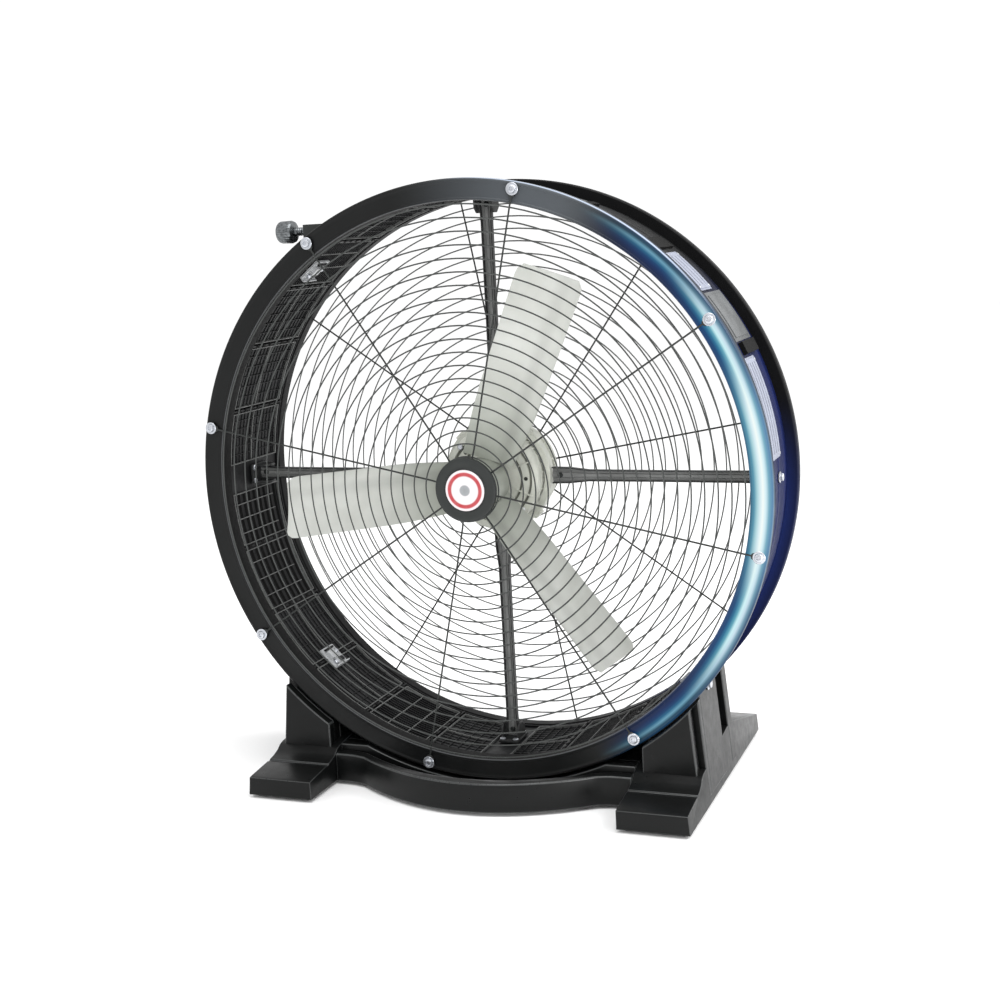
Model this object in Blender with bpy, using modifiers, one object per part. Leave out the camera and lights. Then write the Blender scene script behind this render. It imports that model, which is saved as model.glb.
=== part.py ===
"""Drum floor fan: a large barrel fan bolted into a low moulded stand.

Metres, +Z up. The fan blows towards -Y. The origin is on the floor, under the middle of the whole fan.
Positions along the drum are depths, measured back from the front face of the drum. Angles on the drum are
clockwise from the top, as seen from the front.
"""

import math

import bmesh
import bpy
from mathutils import Matrix, Vector

# Driving dimensions
RIM_RADIUS = 0.550
DRUM_DEPTH = 0.264
AXIS_HEIGHT = 0.573
STAND_FRONT = -0.1365
STAND_REAR = 0.4345
FRONT_Y = -(STAND_FRONT + STAND_REAR) / 2

# Drum
SHELL_RADIUS = 0.531
SHELL_WALL = 0.006
RING_THICKNESS = 0.025
FRONT_RING_INNER = 0.511
REAR_RING_INNER = 0.520
BOLT_CIRCLE = 0.5365
FIRST_BOLT_ANGLE = 12
BOLT_COUNT = 8

# Guards
WIRE_RADIUS = 0.0035
GUARD_RADIUS = 0.505
GUARD_HUB_RADIUS = 0.055
GUARD_RINGS = 5
GUARD_DOME = 0.003
REAR_GUARD_TURN = 34.5

# Struts and motor
STRUT_DEPTH = 0.157
STRUT_WIDTH = 0.027
STRUT_THICKNESS = 0.010
MOTOR_RADIUS = 0.093
MOUNT_RADIUS = 0.105
SHAFT_RADIUS = 0.009

# Rotor
BLADE_COUNT = 3
FIRST_BLADE_ANGLE = 22.5
BLADE_DEPTH = 0.055
BLADE_ROOT = 0.0478
BLADE_TIP = 0.410
HUB_RADIUS = 0.047

# Stand
PAD_HEIGHT = 0.006
STAND_BOTTOM = 0.0063
FOOT_INNER = 0.2945
FOOT_OUTER = 0.426
SIDE_LEAN = 0.10
TOWER_INNER = 0.310
TOWER_OUTER = 0.417
TOWER_TOP = 0.250
TOWER_FRONT = -0.0165
TOWER_REAR = 0.228
PANEL_TOP = 0.061
PANEL_DEPTH = -0.033
DECK_TOP = 0.072
CLAMP_BOLT = (FRONT_Y + 0.088, 0.206)

# Speed control
KNOB_X = -0.3425
KNOB_HEIGHT = 0.472
KNOB_DEPTH = 0.050

GAP = 0.0003
SEGMENTS = 64
SMALL_SEGMENTS = 32
AXLE_TURN = Matrix.Rotation(math.radians(90), 4, "X")


def clear_scene():
    for item in list(bpy.data.objects):
        bpy.data.objects.remove(item, do_unlink=True)


def new_collection(name):
    collection = bpy.data.collections.new(name)
    bpy.context.scene.collection.children.link(collection)
    return collection


clear_scene()
PARTS = new_collection("drum_floor_fan")
CUTTERS = new_collection("cutters")
CUTTERS.hide_render = True


def make_material(name, colour, roughness, metallic=0.0):
    material = bpy.data.materials.new(name)
    material.use_nodes = True
    shader = material.node_tree.nodes["Principled BSDF"]
    shader.inputs["Base Color"].default_value = (*colour, 1.0)
    shader.inputs["Roughness"].default_value = roughness
    shader.inputs["Metallic"].default_value = metallic
    material.diffuse_color = (*colour, 1.0)
    return material


STAND_PLASTIC = make_material("stand_plastic", (0.035, 0.036, 0.037), 0.55)
DRUM_PLASTIC = make_material("drum_plastic", (0.020, 0.021, 0.023), 0.45)
RING_PAINT = make_material("ring_paint", (0.030, 0.031, 0.034), 0.35)
WIRE_PAINT = make_material("wire_paint", (0.015, 0.015, 0.016), 0.40)
STRUT_PAINT = make_material("strut_paint", (0.025, 0.026, 0.028), 0.40)
ZINC = make_material("zinc", (0.80, 0.80, 0.82), 0.25, 1.0)
MOTOR_PAINT = make_material("motor_paint", (0.62, 0.64, 0.60), 0.45)
BLADE_PLASTIC = make_material("blade_plastic", (0.72, 0.74, 0.72), 0.40)
STEEL = make_material("steel", (0.55, 0.56, 0.57), 0.30, 1.0)
COPPER_STACK = make_material("motor_stack", (0.30, 0.28, 0.26), 0.50, 0.8)
RUBBER = make_material("rubber", (0.02, 0.02, 0.02), 0.85)
BADGE_PAINT = make_material("badge_paint", (0.85, 0.85, 0.85), 0.40)
PLATE_PAINT = make_material("plate_paint", (0.60, 0.61, 0.64), 0.45)
BLACK_PLASTIC = make_material("black_plastic", (0.015, 0.015, 0.016), 0.40)


def on_drum(radius, angle, depth):
    """The world point at a radius, a clock angle in degrees and a depth on the drum."""
    turn = math.radians(angle)
    return Vector((radius * math.sin(turn), FRONT_Y + depth, AXIS_HEIGHT + radius * math.cos(turn)))


def around_axis(angle, depth=0.0):
    """A frame on the drum axis whose +Z points outwards at the clock angle and whose +Y points back."""
    return Matrix.Translation((0, FRONT_Y + depth, AXIS_HEIGHT)) @ Matrix.Rotation(math.radians(angle), 4, "Y")


def finish(item, material, smooth=True):
    item.data.materials.append(material)
    if smooth:
        item.data.shade_smooth()
        item.data.set_sharp_from_angle(angle=math.radians(35))
    return item


def mesh_object(name, mesh_data, collection=None):
    item = bpy.data.objects.new(name, mesh_data)
    (collection or PARTS).objects.link(item)
    if collection is CUTTERS:
        item.hide_render = True
        item.display_type = "WIRE"
    return item


def to_mesh(shape, name):
    mesh_data = bpy.data.meshes.new(name)
    shape.to_mesh(mesh_data)
    shape.free()
    return mesh_data


def box(name, low, high, collection=None, place=None):
    """A box between two corners, given in the frame of place."""
    shape = bmesh.new()
    bmesh.ops.create_cube(shape, size=1)
    size = [b - a for a, b in zip(low, high)]
    middle = Vector([(a + b) / 2 for a, b in zip(low, high)])
    bmesh.ops.scale(shape, vec=size, verts=shape.verts)
    item = mesh_object(name, to_mesh(shape, name), collection)
    item.matrix_world = (place or Matrix()) @ Matrix.Translation(middle)
    return item


def rod(name, start, end, radius, segments=12, collection=None, end_radius=None):
    """A round bar or cone between two points."""
    start, end = Vector(start), Vector(end)
    along = end - start
    tip = radius if end_radius is None else end_radius
    shape = bmesh.new()
    bmesh.ops.create_cone(
        shape, cap_ends=True, segments=segments, radius1=radius, radius2=tip, depth=along.length
    )
    item = mesh_object(name, to_mesh(shape, name), collection)
    turn = along.to_track_quat("Z", "Y").to_matrix().to_4x4()
    item.matrix_world = Matrix.Translation((start + end) / 2) @ turn
    return item


def turned(name, profile, segments=SEGMENTS, collection=None, centre=None):
    """A shape turned about the drum axis. The profile holds (radius, depth) pairs: back along the outer
    side, then forward along the bore. A profile that starts and ends on the axis is solid."""
    solid = profile[0][0] == 0 and profile[-1][0] == 0
    points = [(radius, 0, -depth) for radius, depth in profile]
    count = len(points)
    edges = [(i, i + 1) for i in range(count - 1)]
    if not solid:
        edges.append((count - 1, 0))
    mesh_data = bpy.data.meshes.new(name)
    mesh_data.from_pydata(points, edges, [])
    item = mesh_object(name, mesh_data, collection)
    item.matrix_world = Matrix.Translation(centre or (0, FRONT_Y, AXIS_HEIGHT)) @ AXLE_TURN
    screw = item.modifiers.new("turn", "SCREW")
    screw.steps = segments
    screw.render_steps = segments
    screw.use_merge_vertices = True
    screw.merge_threshold = 0.00001
    return item


def outline_solid(name, points, half_thickness, place, collection=None):
    """A flat outline in the XY plane of place, thickened both ways along its Z."""
    curve = bpy.data.curves.new(name, "CURVE")
    curve.dimensions = "2D"
    curve.fill_mode = "BOTH"
    curve.extrude = half_thickness
    spline = curve.splines.new("POLY")
    spline.points.add(len(points) - 1)
    for point, (across, up) in zip(spline.points, points):
        point.co = (across, up, 0, 1)
    spline.use_cyclic_u = True
    holder = bpy.data.objects.new(name, curve)
    bpy.context.scene.collection.objects.link(holder)
    bpy.context.view_layer.update()
    graph = bpy.context.evaluated_depsgraph_get()
    mesh_data = bpy.data.meshes.new_from_object(holder.evaluated_get(graph))
    bpy.data.objects.remove(holder, do_unlink=True)
    shape = bmesh.new()
    shape.from_mesh(mesh_data)
    bmesh.ops.remove_doubles(shape, verts=shape.verts, dist=0.00001)
    shape.to_mesh(mesh_data)
    shape.free()
    item = mesh_object(name, mesh_data, collection)
    item.matrix_world = place
    return item


def boolean(item, other, operation="DIFFERENCE"):
    change = item.modifiers.new(operation.lower(), "BOOLEAN")
    change.operation = operation
    change.object = other


def joined_rods(name, ends, radius, segments, collection=None):
    """Separate straight bars in one mesh, used as one operand of a union."""
    shape = bmesh.new()
    for start, end in ends:
        along = end - start
        turn = along.to_track_quat("Z", "Y").to_matrix().to_4x4()
        bmesh.ops.create_cone(
            shape,
            cap_ends=True,
            segments=segments,
            radius1=radius,
            radius2=radius,
            depth=along.length,
            matrix=Matrix.Translation((start + end) / 2) @ turn,
        )
    return mesh_object(name, to_mesh(shape, name), collection)


def parent_to(items, holder):
    """Parents the pieces to an empty on their joint's axis, and leaves them where they are."""
    bpy.context.view_layer.update()
    for item in items:
        item.parent = holder
        item.matrix_parent_inverse = holder.matrix_world.inverted()


def axis_empty(name, location):
    holder = bpy.data.objects.new(name, None)
    PARTS.objects.link(holder)
    holder.location = location
    return holder


# Stand


def drum_clearance():
    """The room that the drum takes out of the stand: wide at its two rings, close round the shell."""
    ring = RIM_RADIUS + 0.0045
    shell = SHELL_RADIUS + 0.0025
    front_step = RING_THICKNESS + 0.003
    rear_step = DRUM_DEPTH - RING_THICKNESS - 0.003
    profile = [(0, -0.1), (ring, -0.1), (ring, front_step), (shell, front_step)]
    profile += [(shell, rear_step), (ring, rear_step), (ring, 0.6), (0, 0.6)]
    return turned("drum_clearance", profile, collection=CUTTERS)


def side_block(name, outline, inner, outer, side, collection=None, lean_both=False):
    """A side view outline of (depth, height) pairs between two widths, its outer face leaning inwards."""
    middle = side * (inner + outer) / 2
    place = Matrix.Translation((middle, FRONT_Y, 0)) @ Matrix(
        ((0, 0, 1, 0), (1, 0, 0, 0), (0, 1, 0, 0), (0, 0, 0, 1))
    )
    item = outline_solid(name, outline, (outer - inner) / 2, place, collection)
    for vertex in item.data.vertices:
        if lean_both or vertex.co.z * side > 0:
            vertex.co.z -= side * SIDE_LEAN * vertex.co.y
    return item


def make_stand_side(name, side, clearance):
    """One moulded side of the stand: a long foot, a tower cut to the drum, and a ribbed outer face."""
    foot = [(STAND_FRONT, STAND_BOTTOM), (STAND_REAR, STAND_BOTTOM), (STAND_REAR, 0.040)]
    foot += [(TOWER_REAR, 0.092), (TOWER_FRONT, 0.0545), (STAND_FRONT, 0.041)]
    base, top = 0.025, TOWER_TOP
    rear = TOWER_REAR - 0.002
    tower = [(TOWER_FRONT, base), (rear, base), (rear, top), (TOWER_FRONT, top)]
    low, high = base - 0.005, top - 0.002
    panel = [(0.002, low), (TOWER_REAR, low), (TOWER_REAR, high), (0.002, high)]
    item = side_block(name, foot, FOOT_INNER, FOOT_OUTER, side)
    tower_block = side_block(name + "_tower", tower, TOWER_INNER, TOWER_OUTER, side, CUTTERS)
    panel_block = side_block(name + "_panel", panel, 0.35, FOOT_OUTER + 0.001, side, CUTTERS)
    groove = [(0.150, 0.012), (0.198, 0.012), (0.198, top + 0.05), (0.150, top + 0.05)]
    groove_floor = FOOT_OUTER - 0.014
    groove_block = side_block(name + "_groove", groove, groove_floor, 0.47, side, CUTTERS, lean_both=True)
    boolean(item, tower_block, "UNION")
    boolean(item, panel_block, "UNION")
    boolean(item, groove_block)
    near, far = sorted((side * 0.322, side * 0.392))
    boolean(item, box(name + "_hollow", (near, FRONT_Y, 0), (far, FRONT_Y + 0.215, 0.120), CUTTERS))
    boolean(item, clearance)
    start, end = (side * 0.370, *CLAMP_BOLT), (side * 0.450, *CLAMP_BOLT)
    boolean(item, rod(name + "_bolt_hole", start, end, 0.0055, 12, CUTTERS))
    finish(item, STAND_PLASTIC, smooth=False)


def make_clamp_bolt(name, side):
    """The bolt that holds the drum in one tower, its head on the tower's outer face."""
    face = FOOT_OUTER + 0.001 - SIDE_LEAN * CLAMP_BOLT[1]
    head_start = face + 0.0016
    base, top = (side * head_start, *CLAMP_BOLT), (side * (head_start + 0.007), *CLAMP_BOLT)
    item = rod(name, base, top, 0.011, 16)
    tip, inside = (side * 0.393, *CLAMP_BOLT), (side * (head_start + 0.004), *CLAMP_BOLT)
    boolean(item, rod(name + "_shank", tip, inside, 0.005, 12, CUTTERS), "UNION")
    finish(item, ZINC)


def make_pads():
    """Four rubber pads under the ends of the feet."""
    for side, side_name in ((-1, "left"), (1, "right")):
        for low, end_name in ((STAND_FRONT + 0.010, "front"), (STAND_REAR - 0.100, "rear")):
            across = sorted((side * 0.305, side * 0.415))
            pad = box(
                f"pad_{end_name}_{side_name}",
                (across[0], FRONT_Y + low, 0),
                (across[1], FRONT_Y + low + 0.090, PAD_HEIGHT),
            )
            finish(pad, RUBBER, smooth=False)


def make_front_panel():
    """The low front wall of the stand, bowed forwards between the two feet."""
    half_width = FOOT_INNER - 0.0005
    bow_half_width = 0.231
    bow = 0.0935
    wall = 0.026
    steps = 14
    across = [-bow_half_width + 2 * bow_half_width * i / steps for i in range(steps + 1)]
    bowed = [(x, PANEL_DEPTH - bow * (1 - (x / bow_half_width) ** 2)) for x in across]
    front = [(-half_width, PANEL_DEPTH), *bowed, (half_width, PANEL_DEPTH)]
    outline = front + [(x, depth + wall) for x, depth in reversed(front)]
    middle = (STAND_BOTTOM + PANEL_TOP) / 2
    place = Matrix.Translation((0, FRONT_Y, middle))
    item = outline_solid("front_panel", outline, (PANEL_TOP - STAND_BOTTOM) / 2, place)
    finish(item, STAND_PLASTIC, smooth=False)


def make_deck(clearance):
    """The deck that joins the towers behind the front panel, hollowed to the drum."""
    half_width = FOOT_INNER - 0.0005
    front, rear = PANEL_DEPTH + 0.0285, TOWER_REAR - 0.0115
    deck = box("stand_deck", (-half_width, FRONT_Y + front, 0.010), (half_width, FRONT_Y + rear, DECK_TOP))
    boolean(deck, clearance)
    start, end = on_drum(0.50, 180, STRUT_DEPTH), on_drum(0.545, 180, STRUT_DEPTH)
    boolean(deck, rod("deck_bolt_room", start, end, 0.016, 16, CUTTERS))
    finish(deck, STAND_PLASTIC, smooth=False)
    low = (-half_width, FRONT_Y + rear + 0.0005, STAND_BOTTOM)
    wall = box("rear_panel", low, (half_width, FRONT_Y + TOWER_REAR, DECK_TOP))
    boolean(wall, clearance)
    finish(wall, STAND_PLASTIC, smooth=False)


# Drum


def strut_angles():
    return (("12", 0), ("3", 90), ("6", 180), ("9", 270))


def make_shell():
    """The drum's wall, drilled for the strut bolts."""
    inner = SHELL_RADIUS - SHELL_WALL
    start = RING_THICKNESS + GAP
    end = DRUM_DEPTH - RING_THICKNESS - GAP
    shell = turned("drum_shell", [(SHELL_RADIUS, start), (SHELL_RADIUS, end), (inner, end), (inner, start)])
    holes = [
        (on_drum(0.50, angle, STRUT_DEPTH), on_drum(0.56, angle, STRUT_DEPTH)) for _, angle in strut_angles()
    ]
    boolean(shell, joined_rods("shell_holes", holes, 0.0045, 10, CUTTERS))
    finish(shell, DRUM_PLASTIC)


def bolt_angles():
    return [FIRST_BOLT_ANGLE + i * 360 / BOLT_COUNT for i in range(BOLT_COUNT)]


def make_rings():
    """The front ring, with a sleeve inside the shell and holes for its bolts, and the rear ring."""
    outer = RIM_RADIUS
    edge = 0.004
    sleeve = SHELL_RADIUS - SHELL_WALL - 0.001
    front = [(outer - edge, 0), (outer, edge), (outer, RING_THICKNESS), (sleeve, RING_THICKNESS)]
    front += [(sleeve, 0.040), (FRONT_RING_INNER, 0.034)]
    front += [(FRONT_RING_INNER, 0.002), (FRONT_RING_INNER + 0.002, 0)]
    front_ring = turned("front_ring", front)
    holes = []
    for angle in bolt_angles():
        holes.append((on_drum(BOLT_CIRCLE, angle, -0.01), on_drum(BOLT_CIRCLE, angle, 0.022)))
    boolean(front_ring, joined_rods("ring_holes", holes, 0.0045, 10, CUTTERS))
    finish(front_ring, RING_PAINT)
    rear = [(outer, DRUM_DEPTH - RING_THICKNESS), (outer, DRUM_DEPTH - edge), (outer - edge, DRUM_DEPTH)]
    rear += [(REAR_RING_INNER, DRUM_DEPTH), (REAR_RING_INNER, DRUM_DEPTH - RING_THICKNESS)]
    finish(turned("rear_ring", rear), RING_PAINT)


def make_ring_bolts():
    """Eight washer-head bolts that hold the front guard's tabs on the ring."""
    for number, angle in enumerate(bolt_angles(), 1):
        name = f"ring_bolt_{number}"
        base, top = on_drum(BOLT_CIRCLE, angle, -0.0036), on_drum(BOLT_CIRCLE, angle, -0.0096)
        head = rod(name, base, top, 0.0125, 14, None, 0.009)
        inside, tip = on_drum(BOLT_CIRCLE, angle, -0.006), on_drum(BOLT_CIRCLE, angle, 0.020)
        boolean(head, rod(name + "_shank", inside, tip, 0.004, 10, CUTTERS), "UNION")
        finish(head, ZINC)


def guard_ring_radii():
    step = (GUARD_RADIUS - GUARD_HUB_RADIUS) / (GUARD_RINGS - 1)
    return [GUARD_HUB_RADIUS + i * step for i in range(GUARD_RINGS)]


def wire_rings(name, radii, depth_at):
    """Plain wire rings about the drum axis, four-sided in section, as separate bodies in one mesh."""
    shape = bmesh.new()
    around = 32
    for radius in radii:
        depth = depth_at(radius)
        corners = [(radius, depth - WIRE_RADIUS), (radius + WIRE_RADIUS, depth)]
        corners += [(radius, depth + WIRE_RADIUS), (radius - WIRE_RADIUS, depth)]
        loops = []
        for step in range(around):
            turn = 360 * step / around
            loops.append([shape.verts.new(on_drum(r, turn, d)) for r, d in corners])
        for one, two in zip(loops, loops[1:] + loops[:1]):
            for i in range(4):
                j = (i + 1) % 4
                shape.faces.new((one[i], two[i], two[j], one[j]))
    bmesh.ops.recalc_face_normals(shape, faces=shape.faces)
    return mesh_object(name, to_mesh(shape, name))


def front_guard_depth(radius):
    """The front guard is a shallow cone: on the ring's face at its rim, and forward of it at its hub."""
    across = (GUARD_RADIUS - radius) / (GUARD_RADIUS - GUARD_HUB_RADIUS)
    return -(WIRE_RADIUS + GAP + 0.0005) - GUARD_DOME * across


def make_front_guard():
    """The front guard: wire rings, eight spokes, and a flat tab under each ring bolt."""
    guard = wire_rings("front_guard", guard_ring_radii(), front_guard_depth)
    spokes = []
    for angle in bolt_angles():
        inner = on_drum(GUARD_HUB_RADIUS, angle, front_guard_depth(GUARD_HUB_RADIUS))
        spokes.append((inner, on_drum(0.512, angle, front_guard_depth(GUARD_RADIUS))))
    boolean(guard, joined_rods("front_spokes", spokes, WIRE_RADIUS, 6, CUTTERS), "UNION")
    shape = bmesh.new()
    for angle in bolt_angles():
        place = around_axis(angle) @ Matrix.Translation((0, -0.0018, 0.5165))
        size = Matrix.Diagonal((0.016, 0.003, 0.029, 1))
        bmesh.ops.create_cube(shape, size=1, matrix=place @ size)
    tabs = mesh_object("front_tabs", to_mesh(shape, "front_tabs"), CUTTERS)
    boolean(guard, tabs, "UNION")
    finish(guard, WIRE_PAINT, smooth=False)


def make_rear_guard():
    """The rear guard: flat wire rings, with eight spokes that rest on the rear ring."""
    depth = DRUM_DEPTH + WIRE_RADIUS + GAP
    guard = wire_rings("rear_guard", guard_ring_radii(), lambda radius: depth)
    spokes = []
    for i in range(BOLT_COUNT):
        angle = REAR_GUARD_TURN + i * 360 / BOLT_COUNT
        spokes.append((on_drum(GUARD_HUB_RADIUS, angle, depth), on_drum(0.535, angle, depth)))
    boolean(guard, joined_rods("rear_spokes", spokes, WIRE_RADIUS, 6, CUTTERS), "UNION")
    finish(guard, WIRE_PAINT, smooth=False)


def make_guard_hubs():
    """The black disc at the middle of each guard, and the plain round badge on the front one."""
    front_face = front_guard_depth(GUARD_HUB_RADIUS) - WIRE_RADIUS - GAP
    disc = [(0, front_face - 0.008), (0.053, front_face - 0.008), (0.059, front_face - 0.005)]
    disc += [(0.059, front_face), (0, front_face)]
    finish(turned("guard_hub", disc, SMALL_SEGMENTS), BLACK_PLASTIC)
    badge_back = front_face - 0.008 - GAP
    badge = [(0, badge_back - 0.0015), (0.0375, badge_back - 0.0015), (0.0375, badge_back), (0, badge_back)]
    finish(turned("hub_badge", badge, SMALL_SEGMENTS), BADGE_PAINT)
    rear_face = DRUM_DEPTH + 2 * WIRE_RADIUS + 2 * GAP
    rear = [(0, rear_face), (0.060, rear_face), (0.060, rear_face + 0.006), (0, rear_face + 0.006)]
    finish(turned("rear_guard_hub", rear, SMALL_SEGMENTS), BLACK_PLASTIC)


# Struts and motor


def make_strut(name, angle):
    """A flat bar from the motor's mount ring to the drum's wall."""
    half = STRUT_WIDTH / 2
    place = around_axis(angle, STRUT_DEPTH)
    bar = box(
        f"strut_{name}",
        (-half, -STRUT_THICKNESS / 2, MOUNT_RADIUS + 0.0005),
        (half, STRUT_THICKNESS / 2, 0.5170),
        place=place,
    )
    finish(bar, STRUT_PAINT, smooth=False)


def make_bracket(name, angle):
    """The bracket that holds a strut's end: a plate on the drum's wall with two ears beside the bar."""
    place = around_axis(angle, STRUT_DEPTH)
    plate = box(f"strut_bracket_{name}", (-0.020, -0.030, 0.5175), (0.020, 0.030, 0.5235), place=place)
    near, far = STRUT_WIDTH / 2 + 0.0005, STRUT_WIDTH / 2 + 0.0050
    for side, side_name in ((-1, "a"), (1, "b")):
        across = sorted((side * near, side * far))
        ear = box(
            f"ear_{name}_{side_name}", (across[0], -0.020, 0.488), (across[1], 0.020, 0.5185), CUTTERS, place
        )
        boolean(plate, ear, "UNION")
    hole = rod(
        f"bracket_hole_{name}",
        on_drum(0.51, angle, STRUT_DEPTH),
        on_drum(0.53, angle, STRUT_DEPTH),
        0.0045,
        10,
        CUTTERS,
    )
    boolean(plate, hole)
    finish(plate, STRUT_PAINT, smooth=False)


def make_strut_bolt(name, angle):
    """The bolt through the drum's wall into a bracket, its head outside."""
    head = rod(
        f"strut_bolt_{name}",
        on_drum(SHELL_RADIUS + 0.0004, angle, STRUT_DEPTH),
        on_drum(SHELL_RADIUS + 0.0074, angle, STRUT_DEPTH),
        0.010,
        12,
    )
    shank = rod(
        f"strut_shank_{name}",
        on_drum(0.5180, angle, STRUT_DEPTH),
        on_drum(SHELL_RADIUS + 0.003, angle, STRUT_DEPTH),
        0.004,
        10,
        CUTTERS,
    )
    boolean(head, shank, "UNION")
    finish(head, ZINC)


def make_motor():
    """The motor: a mount ring, a housing tube with two end bells, bearings, stator, and the rotor core."""
    bore = MOTOR_RADIUS + 0.0005
    mount = [(MOUNT_RADIUS, 0.146), (MOUNT_RADIUS, 0.168), (bore, 0.168), (bore, 0.146)]
    finish(turned("motor_mount_ring", mount, SMALL_SEGMENTS), STRUT_PAINT)
    housing = [(MOTOR_RADIUS, 0.130), (MOTOR_RADIUS, 0.215), (0.080, 0.215), (0.080, 0.130)]
    finish(turned("motor_housing", housing, SMALL_SEGMENTS), MOTOR_PAINT)
    seat, bore = 0.0203, 0.0125
    front = [(0.083, 0.1085), (MOTOR_RADIUS, 0.118), (MOTOR_RADIUS, 0.1297), (seat, 0.1297)]
    front += [(seat, 0.1165), (bore, 0.1165), (bore, 0.1085)]
    finish(turned("motor_front_bell", front, SMALL_SEGMENTS), MOTOR_PAINT)
    rear = [(MOTOR_RADIUS, 0.2153), (MOTOR_RADIUS, 0.225), (0.083, 0.2345), (bore, 0.2345)]
    rear += [(bore, 0.2285), (seat, 0.2285), (seat, 0.2153)]
    finish(turned("motor_rear_bell", rear, SMALL_SEGMENTS), MOTOR_PAINT)
    for name, start in (("front_bearing", 0.117), ("rear_bearing", 0.216)):
        ring = [(0.020, start), (0.020, start + 0.012), (SHAFT_RADIUS + 0.0005, start + 0.012)]
        ring += [(SHAFT_RADIUS + 0.0005, start)]
        finish(turned(name, ring, 24), STEEL)
    stator = [(0.0795, 0.140), (0.0795, 0.206), (0.050, 0.206), (0.050, 0.140)]
    finish(turned("stator", stator, SMALL_SEGMENTS), COPPER_STACK)
    core = [(0.049, 0.142), (0.049, 0.204), (SHAFT_RADIUS + GAP, 0.204), (SHAFT_RADIUS + GAP, 0.142)]
    return finish(turned("rotor_core", core, 24), COPPER_STACK)


# Rotor


def blade_section(radius):
    """Chord, pitch in degrees and thickness of the blade at a radius."""
    along = (radius - BLADE_ROOT) / (BLADE_TIP - BLADE_ROOT)
    swell = math.sin(math.pi / 2 * min(1.0, along * 2.5))
    chord = 0.098 + 0.018 * swell + 0.009 * along
    return chord, 26 - 4 * along, 0.012 - 0.006 * along


def make_blade(number, angle):
    """A twisted blade lofted through airfoil sections. Its leading edge is at the back, clockwise of it."""
    around = 12
    shape = bmesh.new()
    loops = []
    for step in range(9):
        radius = BLADE_ROOT + (BLADE_TIP - BLADE_ROOT) * step / 8
        chord, pitch, thickness = blade_section(radius)
        pitch = math.radians(pitch)
        loop = []
        for i in range(around):
            turn = 2 * math.pi * i / around
            along = math.cos(turn) * chord / 2
            off = math.sin(turn) * thickness / 2 - 0.06 * chord * (1 - math.cos(turn) ** 2)
            across = along * math.cos(pitch) + off * math.sin(pitch)
            back = along * math.sin(pitch) - off * math.cos(pitch)
            loop.append(shape.verts.new((across, back, radius)))
        loops.append(loop)
    for one, two in zip(loops, loops[1:]):
        for i in range(around):
            j = (i + 1) % around
            shape.faces.new((one[i], one[j], two[j], two[i]))
    shape.faces.new(loops[0])
    shape.faces.new(loops[-1])
    bmesh.ops.recalc_face_normals(shape, faces=shape.faces)
    item = mesh_object(f"blade_{number}", to_mesh(shape, "blade"))
    item.matrix_world = around_axis(angle, BLADE_DEPTH)
    return finish(item, BLADE_PLASTIC)


def make_rotor(rotor_core):
    """Shaft, hub, cap and blades, held by an empty on the fan's axis."""
    shaft = [(0, 0.030), (SHAFT_RADIUS, 0.030), (SHAFT_RADIUS, 0.2275), (0, 0.2275)]
    pieces = [rotor_core, finish(turned("motor_shaft", shaft, 20), STEEL)]
    bore = SHAFT_RADIUS + GAP
    hub = [(0.040, 0.028), (HUB_RADIUS, 0.034), (HUB_RADIUS, 0.088), (bore, 0.088), (bore, 0.028)]
    pieces.append(finish(turned("rotor_hub", hub, SMALL_SEGMENTS), BLADE_PLASTIC))
    cap = [(0, 0.012), (0.018, 0.014), (0.030, 0.0277), (0, 0.0277)]
    pieces.append(finish(turned("hub_cap", cap, 24), BLADE_PLASTIC))
    for i in range(BLADE_COUNT):
        pieces.append(make_blade(i + 1, FIRST_BLADE_ANGLE + i * 360 / BLADE_COUNT))
    parent_to(pieces, axis_empty("rotor_axis", (0, FRONT_Y + BLADE_DEPTH, AXIS_HEIGHT)))


# Fittings on the drum


def arc_plate(name, first_angle, last_angle, start, end, material):
    """A curved plate that lies on the outside of the shell."""
    inner = SHELL_RADIUS + 0.0004
    outer = inner + 0.003
    steps = 6
    angles = [math.radians(first_angle + (last_angle - first_angle) * i / steps) for i in range(steps + 1)]
    outline = [(inner * math.sin(a), inner * math.cos(a)) for a in angles]
    outline += [(outer * math.sin(a), outer * math.cos(a)) for a in reversed(angles)]
    middle = FRONT_Y + (start + end) / 2
    place = Matrix.Translation((0, middle, AXIS_HEIGHT)) @ AXLE_TURN
    finish(outline_solid(name, outline, (end - start) / 2, place), material, smooth=False)


def make_cable_gland():
    """The gland that the supply lead enters by, low on the left of the shell."""
    angle, depth = 260, 0.190
    start, end = on_drum(SHELL_RADIUS + 0.0005, angle, depth), on_drum(0.539, angle, depth)
    base = rod("cable_gland", start, end, 0.013, 6)
    nose = rod(
        "gland_nose", on_drum(0.536, angle, depth), on_drum(0.549, angle, depth), 0.0095, 12, CUTTERS, 0.0075
    )
    boolean(base, nose, "UNION")
    bore = rod("gland_bore", on_drum(0.536, angle, depth), on_drum(0.56, angle, depth), 0.004, 10, CUTTERS)
    boolean(base, bore)
    finish(base, BLACK_PLASTIC, smooth=False)


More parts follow.
